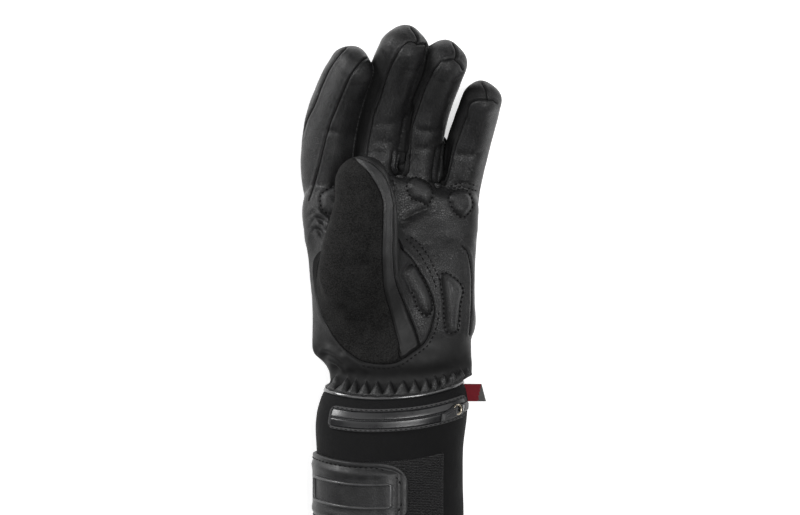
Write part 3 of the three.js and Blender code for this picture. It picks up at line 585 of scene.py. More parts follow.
def signed_distance(points, path, reach):
    """Distance of each point from a path, up to reach, negative to one side of it."""
    best = np.full(len(points), float(reach))
    side = np.ones(len(points))
    low, high = path.min(0) - reach, path.max(0) + reach
    near = np.flatnonzero(((points > low) & (points < high)).all(1))
    p = points[near]
    found, sign = best[near], side[near]
    for a, b in zip(path[:-1], path[1:]):
        along = b - a
        share = np.clip(((p - a) @ along) / max(along @ along, 1e-9), 0, 1)
        gap = p - a - share[:, None] * along
        size = np.hypot(gap[:, 0], gap[:, 1])
        nearer = size < found
        found[nearer] = size[nearer]
        sign[nearer] = np.where(along[0] * gap[nearer, 1] - along[1] * gap[nearer, 0] > 0, 1, -1)
    best[near], side[near] = found, sign
    return best * side


def inside_depth(points, outline):
    """How far inside a closed outline each point is, in mm; negative outside."""
    path = smooth_path(outline, closed=True)
    distance = path_distance(points, path, OUTLINE_REACH)
    inside = np.zeros(len(points), bool)
    for (x0, y0), (x1, y1) in zip(path[:-1], path[1:]):
        crosses = (y0 > points[:, 1]) != (y1 > points[:, 1])
        with np.errstate(divide="ignore", invalid="ignore"):
            inside ^= crosses & (points[:, 0] < (x1 - x0) * (points[:, 1] - y0) / (y1 - y0) + x0)
    return np.where(inside, distance, -distance) * PHOTO_PIXEL


HASH_PRIMES = (73856093, 19349663, 83492791)
HASH_MIXER = 1274126177
HASH_MASK = 0x7FFFFFFF
HASH_VALUES = 65536
SEED_SHIFT = 17.3


def lattice_noise(points, size, seed=0):
    """Smooth noise between -1 and 1 with cells of a size in mm."""
    q = points / size + seed * SEED_SHIFT
    cell = np.floor(q).astype(np.int64)
    t = q - cell
    t = t * t * (3 - 2 * t)
    total = np.zeros(len(points))
    for corner in itertools.product((0, 1), repeat=3):
        a, b, c = ((cell[:, k] + corner[k]) * HASH_PRIMES[k] for k in range(3))
        h = a ^ b ^ c
        h = (h ^ (h >> 13)) * HASH_MIXER & HASH_MASK
        value = (h ^ (h >> 16)) % HASH_VALUES / (HASH_VALUES / 2) - 1
        total += value * np.where(corner, t, 1 - t).prod(1)
    return total


def set_attribute(obj, name, values):
    attribute = obj.data.attributes.new(name, "FLOAT", "POINT")
    attribute.data.foreach_set("value", np.asarray(values, np.float32))


# Side walls between neighbouring fingers, below where they part: ends of a capsule and its half sizes.
WEBS = {
    "ring_little": ((27.2, 58.0, 10.5), (28.9, 86.0, 11.5), 4.2, 8.5),
    "middle_ring": ((0.6, 60.0, 14.0), (3.2, 76.0, 15.0), 4.5, 9.0),
}
WEB_RINGS = 12
WEB_SQUARENESS = 2.0

# The hand, fingers and thumb are joined into one skin, so that leather runs on from one into the next.
PARTS = ["hand", *FINGERS, "thumb"]
HAND, THUMB = PARTS.index("hand"), PARTS.index("thumb")
PART_REACH = 17.0

# Smoothing: how near, in mm, two parts are where it is full and where it ends, and its rounds.
KNUCKLE_MELT, KNUCKLE_ROUNDS = (1.5, 6), 26
THUMB_MELT, THUMB_ROUNDS = (8, 16.8), 1900
EVEN_ROUNDS = 6
LAST_WEIGHT, LAST_ROUNDS = 0.6, 2


def skin_lofts():
    """Rings of every shape that goes into the skin."""
    lofts = {"hand": band_rings() + list(palm_rings())}
    for name, spec in FINGERS.items():
        lofts[name] = tube_rings(*finger_path(spec), FINGER_SQUARENESS, -spec["roll"])
    lofts["thumb"] = tube_rings(*thumb_path(), THUMB_SQUARENESS, 0)
    for name, (start, end, width, depth) in WEBS.items():
        span = np.array(end) - np.array(start)
        centres = np.array(start) + span * np.linspace(0, 1, WEB_RINGS)[:, None]
        widths, depths = (np.full(WEB_RINGS, size) for size in (width, depth))
        lofts["web_" + name] = tube_rings(centres, np.repeat(unit(span)[None], WEB_RINGS, 0), widths, depths,
                                          WEB_SQUARENESS, 0)
    return lofts


def joined_skin(lofts):
    """One skin round all the lofts: its points, its quads and how far each point is from each part."""
    solids = {name: closed_loft("loft_" + name, rings) for name, rings in lofts.items()}
    graph = bpy.context.evaluated_depsgraph_get()
    trees = {name: BVHTree.FromObject(o, graph) for name, o in solids.items()}
    for o in bpy.context.selected_objects:
        o.select_set(False)
    for o in solids.values():
        o.select_set(True)
    joined = solids["hand"]
    bpy.context.view_layer.objects.active = joined
    bpy.ops.object.join()
    joined.data.remesh_voxel_size = VOXEL * MM
    joined.data.remesh_voxel_adaptivity = 0
    bpy.ops.object.voxel_remesh()
    points, quads = mesh_arrays(joined)
    bpy.data.objects.remove(joined)

    gaps = np.full((len(points), len(PARTS)), PART_REACH)
    for column, name in enumerate(PARTS):
        rings = np.concatenate([np.asarray(r).reshape(-1, 3) for r in lofts[name]])
        low, high = rings.min(0) - PART_REACH, rings.max(0) + PART_REACH
        near = np.flatnonzero(((points > low) & (points < high)).all(1))
        for i, p in zip(near.tolist(), (points[near] * MM).tolist()):
            distance = trees[name].find_nearest(p, PART_REACH * MM)[3]
            if distance is not None:
                gaps[i, column] = distance / MM
    return points, quads, gaps


points, quads, gaps = joined_skin(skin_lofts())
part = gaps.argmin(1)
to_hand, to_finger, to_thumb = gaps[:, HAND], gaps[:, HAND + 1:THUMB].min(1), gaps[:, THUMB]

# Knuckles melt into the palm, and the thumb's root more so, while the fingers keep apart from each other.
knuckle = 1 - smoothstep(np.maximum(to_hand, to_finger), *KNUCKLE_MELT)
root = 1 - smoothstep(np.maximum(to_hand, to_thumb), *THUMB_MELT)
points = relax(points, quads, knuckle, KNUCKLE_ROUNDS)
points = relax(points, quads, root, THUMB_ROUNDS)
points = relax(points, quads, np.ones(len(points)), EVEN_ROUNDS, taubin=True)

# Coordinates round the wrist, for the gathers and for where the skin ends inside the cuff.
wrist_row = palm_rings(0, 200, 2)[0][:, [0, 2]]
wrist_middle = (wrist_row.max(0) + wrist_row.min(0)) / 2
wrist_half = np.ptp(wrist_row, axis=0) / 2
TURN_POWER = PALM_SQUARENESS / 2


def wrist_turn(p):
    """Radians round the wrist from the front."""
    u, v = np.clip((p[:, [0, 2]] - wrist_middle) / wrist_half, -1, 1).T
    return np.arctan2(np.sign(u) * np.abs(u) ** TURN_POWER, np.sign(v) * np.abs(v) ** TURN_POWER)


def wrist_down(p):
    """Millimetres below the piping, which hangs lower in front."""
    droop = CUFF_DROOP * np.maximum(np.cos(wrist_turn(p)), 0) ** 2
    return WRIST_TILT * p[:, 0] - droop - (p[:, 1] - WRIST)


SKIN_END_DOWN = 0.8
SKIN_END_ABOVE = 20
keep_point = (wrist_down(points) < SKIN_END_DOWN) | (points[:, 1] > WRIST + SKIN_END_ABOVE)
used, quads = compact(quads[keep_point[quads].all(1)])
points, part, to_hand, to_finger, to_thumb = (a[used] for a in (points, part, to_hand, to_finger, to_thumb))
normals = point_normals(points, quads)
if (normals[:, 2] * (points[:, 2] - PALM_DEPTH / 2)).sum() < 0:
    quads = quads[:, ::-1]
    normals = -normals

# Where each point is seen, and how much it belongs to the palm side, the thumb and the thumb's gusset.
FACING_SLOPES = (0.02, 0.3)
SEAM_SLOPES = (0.12, 0.5)
GUSSET_FADE = 0.6
photo = to_photo(points)
facing = smoothstep(normals[:, 2], *FACING_SLOPES)
inward = smoothstep(normals[:, 2], *SEAM_SLOPES)
past_thumb = np.minimum(to_hand, to_finger) - to_thumb
on_thumb = smoothstep(past_thumb, -1.0, 1.0)
off_thumb = 1 - on_thumb
on_palm = facing * off_thumb
oval = inside_depth(photo, OUTLINES["oval"])
in_gusset = facing * np.maximum(on_thumb, smoothstep(oval, -GUSSET_FADE, GUSSET_FADE))

# Seams are felt up to FAR, in mm, and a pressed line's raised edges have a share of its depth.
FAR = 6.0
SEAM_REACH = 14 / PHOTO_PIXEL
EDGE_SHARE, EDGE_WIDTH, EDGE_PLACE = 0.3, 0.7, 1.5
lift = np.zeros(len(points))
seam_gap = np.full(len(points), FAR)
seam_side = np.full(len(points), FAR)


def mark_seam(distance, weight):
    """Keeps the nearest seam's distance, in mm, and which side of it a point is on."""
    away = np.abs(distance) + (1 - weight) * FAR
    nearer = away < seam_gap
    seam_gap[nearer] = away[nearer]
    seam_side[nearer] = (np.sign(distance) * away)[nearer]


def press(distance, weight, depth, width, pull=0.0, spread=4.0):
    """Pulls the skin in along a line, sharply at the line itself and softly round it, with raised edges."""
    away = np.abs(distance)
    edges = EDGE_SHARE * depth * bell(away, EDGE_WIDTH, EDGE_PLACE)
    lift[:] -= (depth * bell(away, width) - edges + pull * bell(away, spread)) * weight


# Seams: depth, width and pull of what is pressed in.
FAINT_PRESS = (0.4, 1.1, 0.5)
SHARP_PRESS = (0.8, 0.42, 0.4)
OVAL_PRESS = (0.6, 0.42, 0.1)
for name, path in SEAMS.items():
    distance = signed_distance(photo, smooth_path(path), SEAM_REACH) * PHOTO_PIXEL
    if name in FAINT_SEAMS:
        press(distance, on_palm, *FAINT_PRESS)
    else:
        weight = {"thumb_seam": in_gusset, "oval": facing}.get(name, on_palm)
        press(distance, weight * inward, *(OVAL_PRESS if name == "oval" else SHARP_PRESS))
        mark_seam(distance, weight)

# Rims: height, width and place of each ridge and groove inside the rolled edge.
RIM_REACH = 20
RIM_RIDGES = ((0.9, 0.9, 1.5), (-0.9, 0.9, 3.4), (-0.8, 0.7, 0.0))
for path in RIMS.values():
    depth = path_distance(photo, smooth_path(path), RIM_REACH) * PHOTO_PIXEL
    depth = np.where(inside_depth(photo, path) > 0, depth, -depth)
    top = min(y for _, y in path)
    below_top = smoothstep(photo[:, 1], top - 4, top + 6)
    ridges = sum(height * bell(depth, width, place) for height, width, place in RIM_RIDGES)
    lift += ridges * on_palm * below_top
    mark_seam(depth, on_palm * below_top)

# Folds fade out towards both of their ends.
FOLD_REACH = 16
FOLD_END_FADE = 5
for path, height, width in FOLDS:
    distance = path_distance(photo, smooth_path(path), FOLD_REACH) * PHOTO_PIXEL
    ends = np.minimum(*(np.hypot(*(photo - end).T) for end in (path[0], path[-1]))) * PHOTO_PIXEL
    lift += height * bell(distance, width) * smoothstep(ends, 0, FOLD_END_FADE) * on_palm

# Hollows between the fingers are pressed in and get painted shade; both fade in from their upper ends.
HOLLOW_DEPTH = 1.6
HOLLOW_FADE = 14
hollow_shade = np.zeros(len(points))
for path in HOLLOWS.values():
    top = min(y for _, y in path)
    inside = smoothstep(inside_depth(photo, path), -0.4, 1.2) * on_palm
    inside = inside * smoothstep(photo[:, 1], top, top + HOLLOW_FADE)
    lift -= HOLLOW_DEPTH * inside
    hollow_shade = np.maximum(hollow_shade, inside)

# Pads: a row of stitches just inside the edge, and a round swell.
PAD_SEAM_INSET = 0.9
PAD_PRESS = (0.4, 0.7, 0.35, 2.6)
PAD_ROUNDNESS = 0.8
pads = {}
for name in PADS:
    depth = inside_depth(photo, OUTLINES[name])
    weight = in_gusset if name == "pad_thumb" else on_palm
    pads[name] = depth, weight
    press(depth - PAD_SEAM_INSET, weight, *PAD_PRESS)
    lift += smoothstep(depth, 0.5, 5.0) ** PAD_ROUNDNESS * PAD_LIFT * weight

# The gusset and the stripe lie on the palm's leather.
PATCH_LIFT = 0.5
STRIPE_PRESS = (0.45, 0.6)
suede_depth = inside_depth(photo, OUTLINES["suede"])
stripe_depth = inside_depth(photo, OUTLINES["stripe"])
below_thumb = 1 - smoothstep(past_thumb, 0, 15)
lift += PATCH_LIFT * smoothstep(oval, 0.0, 2.5) * in_gusset * below_thumb
press(stripe_depth, in_gusset, *STRIPE_PRESS)
mark_seam(stripe_depth, in_gusset * smoothstep(photo[:, 0], *STRIPE_SEAM_X))
lift += PATCH_LIFT * smoothstep(stripe_depth, 0.0, 1.8) * in_gusset

# Seam between the leather and the softshell back, along the sides of every part.
HAND_SIDE_Z = 13
SIDE_SHARE = 0.35
TIP_SHARE = 0.9
SIDE_PRESS = (0.5, 0.8)
side_height = np.zeros(len(points))
side_height[part == HAND] = points[part == HAND, 2] - HAND_SIDE_Z
for column, name in enumerate(PARTS[1:], 1):
    centres, aheads, widths, depths = thumb_path() if name == "thumb" else finger_path(FINGERS[name])
    _, outs = tube_axes(aheads)
    own = points[part == column]
    near = ((own[:, None] - centres[None]) ** 2).sum(-1).argmin(1)
    offset = ((own - centres[near]) * outs[near]).sum(1)
    past_end = np.maximum(((own - centres[-1]) * aheads[-1]).sum(1), 0)
    side_height[part == column] = offset + SIDE_SHARE * depths[near] + TIP_SHARE * past_end
off_floor = smoothstep(points[:, 2], 1.0, 4.0)
press(side_height, off_floor, *SIDE_PRESS)
mark_seam(side_height, off_floor)

# Gathers of the wrist band: each one starts at a point and widens down to the piping. Those of the palm
# start where the photograph shows them, and those of the back are evenly spaced.
APEX_Z = 50
BACK_GATHERS = 18
BACK_MARGIN = 14
below = wrist_down(points)
turn = np.degrees(wrist_turn(points))
apex_scale = PHOTO_PIXEL * (EYE[2] - APEX_Z) / (EYE[2] - PIXEL_HEIGHT)
apex_x = (np.array(PLEAT_APEXES) - PHOTO_CENTRE[0]) * apex_scale + EYE[0]
share = np.clip((apex_x - wrist_middle[0]) / wrist_half[0], -0.98, 0.98)
front_turns = np.degrees(np.arcsin(np.sign(share) * np.abs(share) ** TURN_POWER))
back_turns = np.linspace(front_turns[-1] + BACK_MARGIN, 360 + front_turns[0] - BACK_MARGIN, BACK_GATHERS)
apex_turns = np.sort(np.concatenate([front_turns, (back_turns + 180) % 360 - 180]))
wrapped = np.concatenate([[apex_turns[-1] - 360], apex_turns, [apex_turns[0] + 360]])
right_of = np.clip(np.searchsorted(wrapped, turn), 1, len(wrapped) - 1)
low_turn, high_turn = wrapped[right_of - 1], wrapped[right_of]
between = (turn - low_turn) / (high_turn - low_turn)
from_ridge = np.minimum(between, 1 - between) * 2

# The band is higher and its gathers are deeper in front, as pairs of values at the back and in front.
# fall runs from 0 at the apexes to 1 at the piping.
BAND_HEIGHTS = (4.0, 10.8)
GATHER_HEIGHTS = (0.6, 3.5)
BAND_SINKS = (0.3, 3.3)
SINK_SPREAD = 7.5
NEAR_WRIST = 40
front = np.cos(np.radians(turn))
at_front = smoothstep(front, 0.1, 0.6)
band_height = lerp(*BAND_HEIGHTS, smoothstep(front, -0.1, 0.5))
above_band = below + band_height
fall = np.clip(above_band / band_height, 0, 1.1)
ridge = np.clip(1 - from_ridge / np.clip(fall * 1.5, 0.05, 1.5), 0, 1)
facet = 0.5 * smoothstep(ridge, 0.0, 0.3) + 0.5 * ridge
near_wrist = points[:, 1] < WRIST + NEAR_WRIST
in_band = near_wrist & (above_band > -0.5)
gather_height = lerp(*GATHER_HEIGHTS, at_front)
sink = lerp(*BAND_SINKS, at_front) * near_wrist * bell(np.minimum(above_band, 0), SINK_SPREAD)
gather = facet * gather_height * smoothstep(fall, 0.0, 0.35) - 0.4 * smoothstep(fall, 0.4, 1)
gather = np.where(in_band, gather, 0) - sink * (1 - 0.6 * smoothstep(fall, 0.2, 1.0))
lift += gather * smoothstep(-below, 0.2, 1.6)

# Painted shade, darkening the colour between the gathers and in the hollows between the fingers, and a
# painted shadow on the fingers' side panels.
painted_shade = np.where(in_band, (1 - facet) * smoothstep(fall, 0.05, 0.3) * (0.8 - 0.5 * fall), 0)
painted_shade = np.maximum(painted_shade, hollow_shade)
PANEL_REACH = 40
for name, (seam, top_y, right_x) in SIDE_PANEL_SHADOWS.items():
    distance = signed_distance(photo, smooth_path(SEAMS[seam]), PANEL_REACH)
    panel_shadow = (smoothstep(distance, 0.3, 1.5) * smoothstep(photo[:, 1], top_y - 7, top_y + 5)
             * smoothstep(right_x - photo[:, 0], 0, 12) * (part == PARTS.index(name)))
    painted_shade = np.maximum(painted_shade, panel_shadow * (distance < PANEL_REACH - 1))

# Shade in the dip above the gathers, beside the heel pad and down the palm's thumb side.
above_gathers = bell(above_band + 4.5, 4.5) * at_front * near_wrist
beside_heel = bell(path_distance(photo, smooth_path(HEEL_SHADE_LINE), 12), 2.6)
thumb_side = smoothstep(photo[:, 1], *SIDE_SHADE_Y) * smoothstep(SIDE_SHADE_X - photo[:, 0], 0, 10)
# All three darken the colour: painted shade.
for shade, strength in ((above_gathers, 0.75), (beside_heel, 0.6), (thumb_side, 0.75)):
    painted_shade = np.maximum(painted_shade, strength * shade * off_thumb)

# How light the leather is: less towards the wrist and on the back; more on pads and the gathers' facets,
# which is a painted highlight; and down the stripe it darkens as painted shade.
BACK_TONE = 0.5
GATHER_PAINTED_HIGHLIGHT = 1.9
STRIPE_SHADE_SPAN = (0.15, 1.0)
lighter_tone = smoothstep(photo[:, 1], *TONE_FADE_Y) * facing + (1 - facing) * BACK_TONE
# Pads get a painted highlight.
for depth, weight in pads.values():
    lighter_tone += smoothstep(depth, 0.5, 3.0) * weight
# The gathers' facets get a painted highlight, lighter than the leather round them.
lighter_tone = np.maximum(lighter_tone, np.where(in_band, GATHER_PAINTED_HIGHLIGHT * facet * smoothstep(fall, 0.0, 0.25), 0))
# Down the stripe the colour darkens towards its low end: painted shade.
stripe_shading = lerp(*STRIPE_SHADE_SPAN, smoothstep(photo[:, 1], *STRIPE_SHADE_Y))
lighter_tone = np.where(stripe_depth * in_gusset > 0, stripe_shading, lighter_tone)

# Soft unevenness of padded leather, in broad swells and in small dents that the back is free of.
SWELL_HEIGHT, SWELL_SIZE = 0.35, 16
DENT_HEIGHT, DENT_SIZE = 0.16, 6
lift += SWELL_HEIGHT * lattice_noise(points, SWELL_SIZE, 1)
lift += DENT_HEIGHT * lattice_noise(points, DENT_SIZE, 2) * smoothstep(side_height, -2, 2)

points = points + normals * lift[:, None]
points = keep_off_floor(relax(points, quads, np.full(len(points), LAST_WEIGHT), LAST_ROUNDS))
normals = point_normals(points, quads)

# Faces are shared out to the pieces they belong to.
owner = np.array(PARTS, dtype=object)[part[quads[:, 0]]]
owner[(in_gusset[quads].mean(1) > 0.5) & (oval[quads].mean(1) > 0)] = "thumb"
for name, (depth, weight) in pads.items():
    owner[((depth > 0) & (weight > 0.5))[quads].all(1)] = name
on_stripe = ((stripe_depth > 0) & (in_gusset > 0.5))[quads].all(1)
owner[on_stripe & (owner == "thumb")] = "thumb_stripe"

# The suede runs on down the thumb's left side, out of the camera's sight.
suede = np.where(in_gusset > 0.5, np.clip(suede_depth, -FAR, FAR), -FAR)
hidden_side = on_thumb * (1 - facing) * smoothstep(-points[:, 0], 10, 16)
suede = np.maximum(suede, hidden_side * 2 * FAR - FAR)
stripe = np.where(in_gusset > 0.5, np.clip(stripe_depth, -FAR, FAR), -FAR)

SKIN_ATTRIBUTES = {"seam_gap": seam_gap, "seam_side": seam_side, "leather_side": side_height, "suede": suede,
                   "stripe": stripe, "painted_shade": painted_shade, "lighter_tone": lighter_tone}
skin_pieces = {}
for name in [*PARTS, "thumb_stripe", *PADS]:
    used, faces = compact(quads[owner == name])
    obj = mesh_object("skin_" + name, points[used], faces)
    obj.data.normals_split_custom_set_from_vertices(normals[used].tolist())
    for attribute, values in SKIN_ATTRIBUTES.items():
        set_attribute(obj, attribute, values[used])
    skin_pieces[name] = obj

skin_tree = BVHTree.FromPolygons((points * MM).tolist(), quads.tolist())


class Shader:
    """Shorthand for a material's nodes. Values are numbers, colours or other nodes' outputs."""

    def __init__(self, name, roughness=0.5, metallic=0.0, **sockets):
        self.material = bpy.data.materials.new(name)
        self.material.use_nodes = True
        self.nodes, self.links = self.material.node_tree.nodes, self.material.node_tree.links
        self.bsdf = self.nodes["Principled BSDF"]
        for socket, value in dict(Roughness=roughness, Metallic=metallic, **sockets).items():
            self.bsdf.inputs[socket.replace("_", " ")].default_value = value
        self.place = self.nodes.new("ShaderNodeTexCoord").outputs["Object"]
        self.height = None

    def node(self, kind, output, inputs, **settings):
        """A new node's output, with values put into its inputs."""
        node = self.nodes.new("ShaderNode" + kind)
        for setting, value in settings.items():
            setattr(node, setting, value)
        for socket, value in inputs.items():
            if isinstance(value, tuple):
                node.inputs[socket].default_value = (*value, 1.0)
            elif isinstance(value, (int, float)):
                node.inputs[socket].default_value = value
            else:
                self.links.new(value, node.inputs[socket])
        return node.outputs[output]

    def noise(self, scale, detail=3.0, rough=0.5):
        return self.node("TexNoise", "Fac", {"Scale": scale, "Detail": detail, "Roughness": rough,
                                             "Vector": self.place})

    def cells(self, scale):
        return self.node("TexVoronoi", "Distance", {"Scale": scale, "Vector": self.place},
                         feature="DISTANCE_TO_EDGE")

    def waves(self, scale, direction, distortion):
        return self.node("TexWave", "Fac", {"Scale": scale, "Distortion": distortion, "Vector": self.place},
                         bands_direction=direction)

    def attribute(self, name):
        return self.node("Attribute", "Fac", {}, attribute_name=name)

    def math(self, operation, a, b=0.0, clamp=False):
        return self.node("Math", "Value", {0: a, 1: b}, operation=operation, use_clamp=clamp)

    def times(self, a, b):
        return self.math("MULTIPLY", a, b)

    def plus(self, a, b):
        return self.math("ADD", a, b)

    def span(self, value, low, high, new_low=0.0, new_high=1.0):
        """The value's place between low and high, laid over the new range and kept within it."""
        return self.node("MapRange", "Result", {"From Min": low, "From Max": high, "To Min": new_low,
                                                "To Max": new_high, "Value": value})

    def mix(self, factor, a, b):
        return self.node("Mix", 2, {"Factor": factor, 6: a, 7: b}, data_type="RGBA")

    def bump(self, height, distance, strength):
        """Adds relief on top of what the material has already."""
        inputs = {"Distance": distance, "Strength": strength, "Height": height}
        if self.height is not None:
            inputs["Normal"] = self.height
        self.height = self.node("Bump", "Normal", inputs)

    def finish(self, colour, roughness=None):
        for socket, value in (("Base Color", colour), ("Roughness", roughness), ("Normal", self.height)):
            if value is not None:
                self.links.new(value, self.bsdf.inputs[socket])
        return self.material


def grey(level, blue=None):
    """A grey, with its blue given where that differs."""
    return (level, level, blue or level)


LEATHER = grey(0.0085, 0.0088)
LEATHER_WORN = grey(0.02, 0.0204)
# Lighter leather: a painted highlight on the pads and the gathers' facets.
LEATHER_PAINTED_HIGHLIGHT = grey(0.034, 0.0345)
LEATHER_SMOOTH = grey(0.006, 0.0062)
SUEDE = grey(0.0045)
SUEDE_WORN = (0.0225, 0.0222, 0.0219)
STRIPE = grey(0.026, 0.0265)
STRIPE_WORN = grey(0.042, 0.0425)
# Darker stripe leather for the stripe's low end: painted shade.
STRIPE_PAINTED_SHADE = grey(0.0045, 0.0046)
SOFTSHELL = grey(0.0032, 0.0034)
SOFTSHELL_WORN = grey(0.008, 0.0084)
# Dark seam lines, and painted shade in the gaps, hollows, dips and shadowed side panels.
SEAM_LINE_AND_PAINTED_SHADE = grey(0.0015, 0.0016)

# In mm: half the width of the change between two of the skin's materials, and a seam line's edges and ends.
SKIN_EDGE = 0.15
LINE_EDGES = (0.14, 0.36)
LINE_ENDS = (0.7, 1.0)


def skin_material(name, shine):
    """Leather on the palm side, suede and a lighter stripe on the thumb, softshell on the back."""
    s = Shader(name, Specular_IOR_Level=shine)
    grain = s.cells(780)
    fine = s.noise(2600, 2)
    patches = s.noise(60, 3, 0.55)
    creases = s.noise(210, 2, 0.5)
    lighter_tone = s.attribute("lighter_tone")
    tone_fac = s.span(lighter_tone, 0.0, 1.0)
    suede_fac, stripe_fac, leather_fac = (
        s.span(s.attribute(a), -SKIN_EDGE, SKIN_EDGE) for a in ("suede", "stripe", "leather_side"))
    back_fac = s.math("SUBTRACT", 1.0, leather_fac)
    line = s.span(s.math("ABSOLUTE", s.attribute("seam_side")), *LINE_EDGES, 1, 0)
    line = s.times(line, s.span(s.attribute("seam_gap"), *LINE_ENDS, 1, 0))
    # Dark seam lines, and painted shade from the skin's attribute.
    shade = s.math("MAXIMUM", line, s.times(s.attribute("painted_shade"), 0.8))

    mottle = s.span(s.plus(patches, s.times(s.span(grain, 0.0, 0.3), 0.35)), 0.45, 0.85)
    mottle = s.times(mottle, tone_fac)
    leather = s.mix(tone_fac, LEATHER_SMOOTH, s.mix(mottle, LEATHER, LEATHER_WORN))
    # Pads and the gathers' facets get a painted highlight.
    leather = s.mix(s.times(s.span(lighter_tone, 1.0, 2.0), mottle), leather, LEATHER_PAINTED_HIGHLIGHT)
    stripe = s.mix(s.span(s.noise(90, 3), 0.35, 0.65), STRIPE, STRIPE_WORN)
    # The stripe darkens towards its low end: painted shade.
    stripe = s.mix(tone_fac, STRIPE_PAINTED_SHADE, stripe)
    nap = s.noise(1350, 3, 0.7)
    brushed = s.plus(s.times(nap, 0.75), s.times(s.noise(90, 4, 0.6), 0.25))
    suede = s.mix(s.span(brushed, 0.39, 0.61), SUEDE, SUEDE_WORN)
    weave = s.times(s.waves(620, "X", 0.4), s.waves(620, "Y", 0.4))
    shell = s.mix(s.span(weave, 0.0, 0.7), SOFTSHELL, SOFTSHELL_WORN)
    colour = s.mix(stripe_fac, leather, stripe)
    colour = s.mix(suede_fac, colour, suede)
    colour = s.mix(back_fac, colour, shell)
    # Seam lines and painted shade darken the colour.
    colour = s.mix(s.times(shade, 0.96), colour, SEAM_LINE_AND_PAINTED_SHADE)

    cloth = s.math("MAXIMUM", suede_fac, back_fac)
    plain = s.math("SUBTRACT", 1.0, cloth, True)
    rough = s.plus(s.span(creases, 0.3, 0.7, 0.34, 0.44), s.times(cloth, 0.5))
    rough = s.plus(rough, s.times(shade, 0.35))
    rough = s.plus(rough, s.span(lighter_tone, 0.0, 0.8, 0.22, 0.0))
    s.bump(s.times(line, -1.0), 0.0006, 0.8)
    s.bump(s.times(s.span(grain, 0.0, 0.16), s.times(plain, tone_fac)), 0.0002, 0.45)
    s.bump(s.times(creases, plain), 0.0007, 0.18)
    s.bump(s.times(fine, plain), 0.00005, 0.5)
    s.bump(s.times(nap, suede_fac), 0.0004, 0.7)
    s.bump(s.times(weave, back_fac), 0.00012, 0.6)
    return s.finish(colour, s.math("MINIMUM", rough, 0.95))


def shell_material(name, base, lighter_tone, scale=620, sheen=0.0):
    """Woven softshell cloth."""
    s = Shader(name, roughness=0.8, Specular_IOR_Level=0.14, Sheen_Weight=sheen)
    weave = s.times(s.waves(scale, "X", 0.5), s.waves(scale, "Y", 0.5))
    patches = s.noise(55, 4, 0.6)
    colour = s.mix(s.span(s.plus(s.times(weave, 0.5), s.times(patches, 0.7)), 0.2, 0.85), base, lighter_tone)
    s.bump(weave, 0.00014, 0.7)
    s.bump(s.noise(300, 3), 0.0006, 0.35)
    return s.finish(colour, s.span(patches, 0.3, 0.7, 0.68, 0.86))


def coated_material(name, base, lighter_tone, roughness, metallic=0.0, grain=900, depth=0.00008, shine=0.4):
    """Smooth plastic, coated tape or metal, with faint mottling."""
    s = Shader(name, roughness=roughness, metallic=metallic, Specular_IOR_Level=shine)
    colour = s.mix(s.span(s.noise(120, 4, 0.6), 0.3, 0.7), base, lighter_tone)
    s.bump(s.noise(grain, 3), depth, 0.5)
    return s.finish(colour, s.span(s.noise(260, 3), 0.3, 0.7, roughness * 0.85, min(roughness * 1.2, 1.0)))


def thread_material(name, base, lighter_tone):
    """Twisted sewing thread."""
    s = Shader(name, roughness=0.8, Specular_IOR_Level=0.12)
    twist = s.waves(1500, "DIAGONAL", 0.3)
    s.bump(twist, 0.0001, 0.6)
    return s.finish(s.mix(twist, base, lighter_tone))


def loop_material(name, base, lighter_tone):
    """Rows of small napped loops."""
    s = Shader(name, roughness=0.95, Sheen_Weight=0.08, Specular_IOR_Level=0.08)
    pile = s.plus(s.times(s.waves(330, "Y", 4.0), 0.6), s.times(s.noise(1700, 4, 0.7), 0.5))
    s.bump(pile, 0.0008, 0.9)
    return s.finish(s.mix(s.span(pile, 0.3, 0.8), base, lighter_tone))


MATERIALS = {
    "skin": skin_material("glove_leather", 0.27),
    "suede": skin_material("thumb_suede", 0.07),
    "back": skin_material("back_softshell", 0.1),
    "softshell": shell_material("softshell", SOFTSHELL, SOFTSHELL_WORN),
    "binding": shell_material("hem_binding", grey(0.011, 0.012), grey(0.018, 0.019), 900),
    "lining": shell_material("fleece_lining", grey(0.06, 0.063), grey(0.13, 0.135), 420, 0.3),
    "piping": coated_material("piping_cord", grey(0.035, 0.036), grey(0.06, 0.061), 0.2, shine=1.0),
    "thread": thread_material("thread", grey(0.0035, 0.0036), grey(0.009, 0.0092)),
    "tape": coated_material("zip_tape", grey(0.008, 0.009), grey(0.014, 0.015), 0.3,
                            grain=1400, depth=0.00003, shine=0.55),
    "coil": coated_material("zip_coil", grey(0.006, 0.007), grey(0.012, 0.013), 0.5),
    "frame": shell_material("zip_frame", grey(0.045, 0.046), grey(0.075, 0.076), 800),
    "slider": coated_material("slider_metal", grey(0.09, 0.092), grey(0.13, 0.132), 0.34, metallic=0.9),
    "ring": coated_material("ring_metal", (0.5, 0.44, 0.34), (0.62, 0.55, 0.44), 0.28, metallic=1.0,
                            grain=600, depth=0.00003),
    "pull": coated_material("pull_rubber", grey(0.02, 0.021), grey(0.034, 0.035), 0.5),
    "strap": coated_material("strap_leather", grey(0.009, 0.0095), grey(0.018, 0.0185), 0.42,
                             grain=1100, depth=0.0003, shine=0.3),
    "badge": coated_material("badge_rubber", grey(0.035, 0.036), grey(0.055, 0.056), 0.3),
    "loop": loop_material("loop_pile", grey(0.002, 0.0021), grey(0.036, 0.037)),
    "tab_red": shell_material("tab_red", (0.13, 0.011, 0.016), (0.22, 0.017, 0.025), 1100),
    "tab_grey": shell_material("tab_grey", (0.07, 0.068, 0.066), (0.12, 0.117, 0.114), 1100),
}


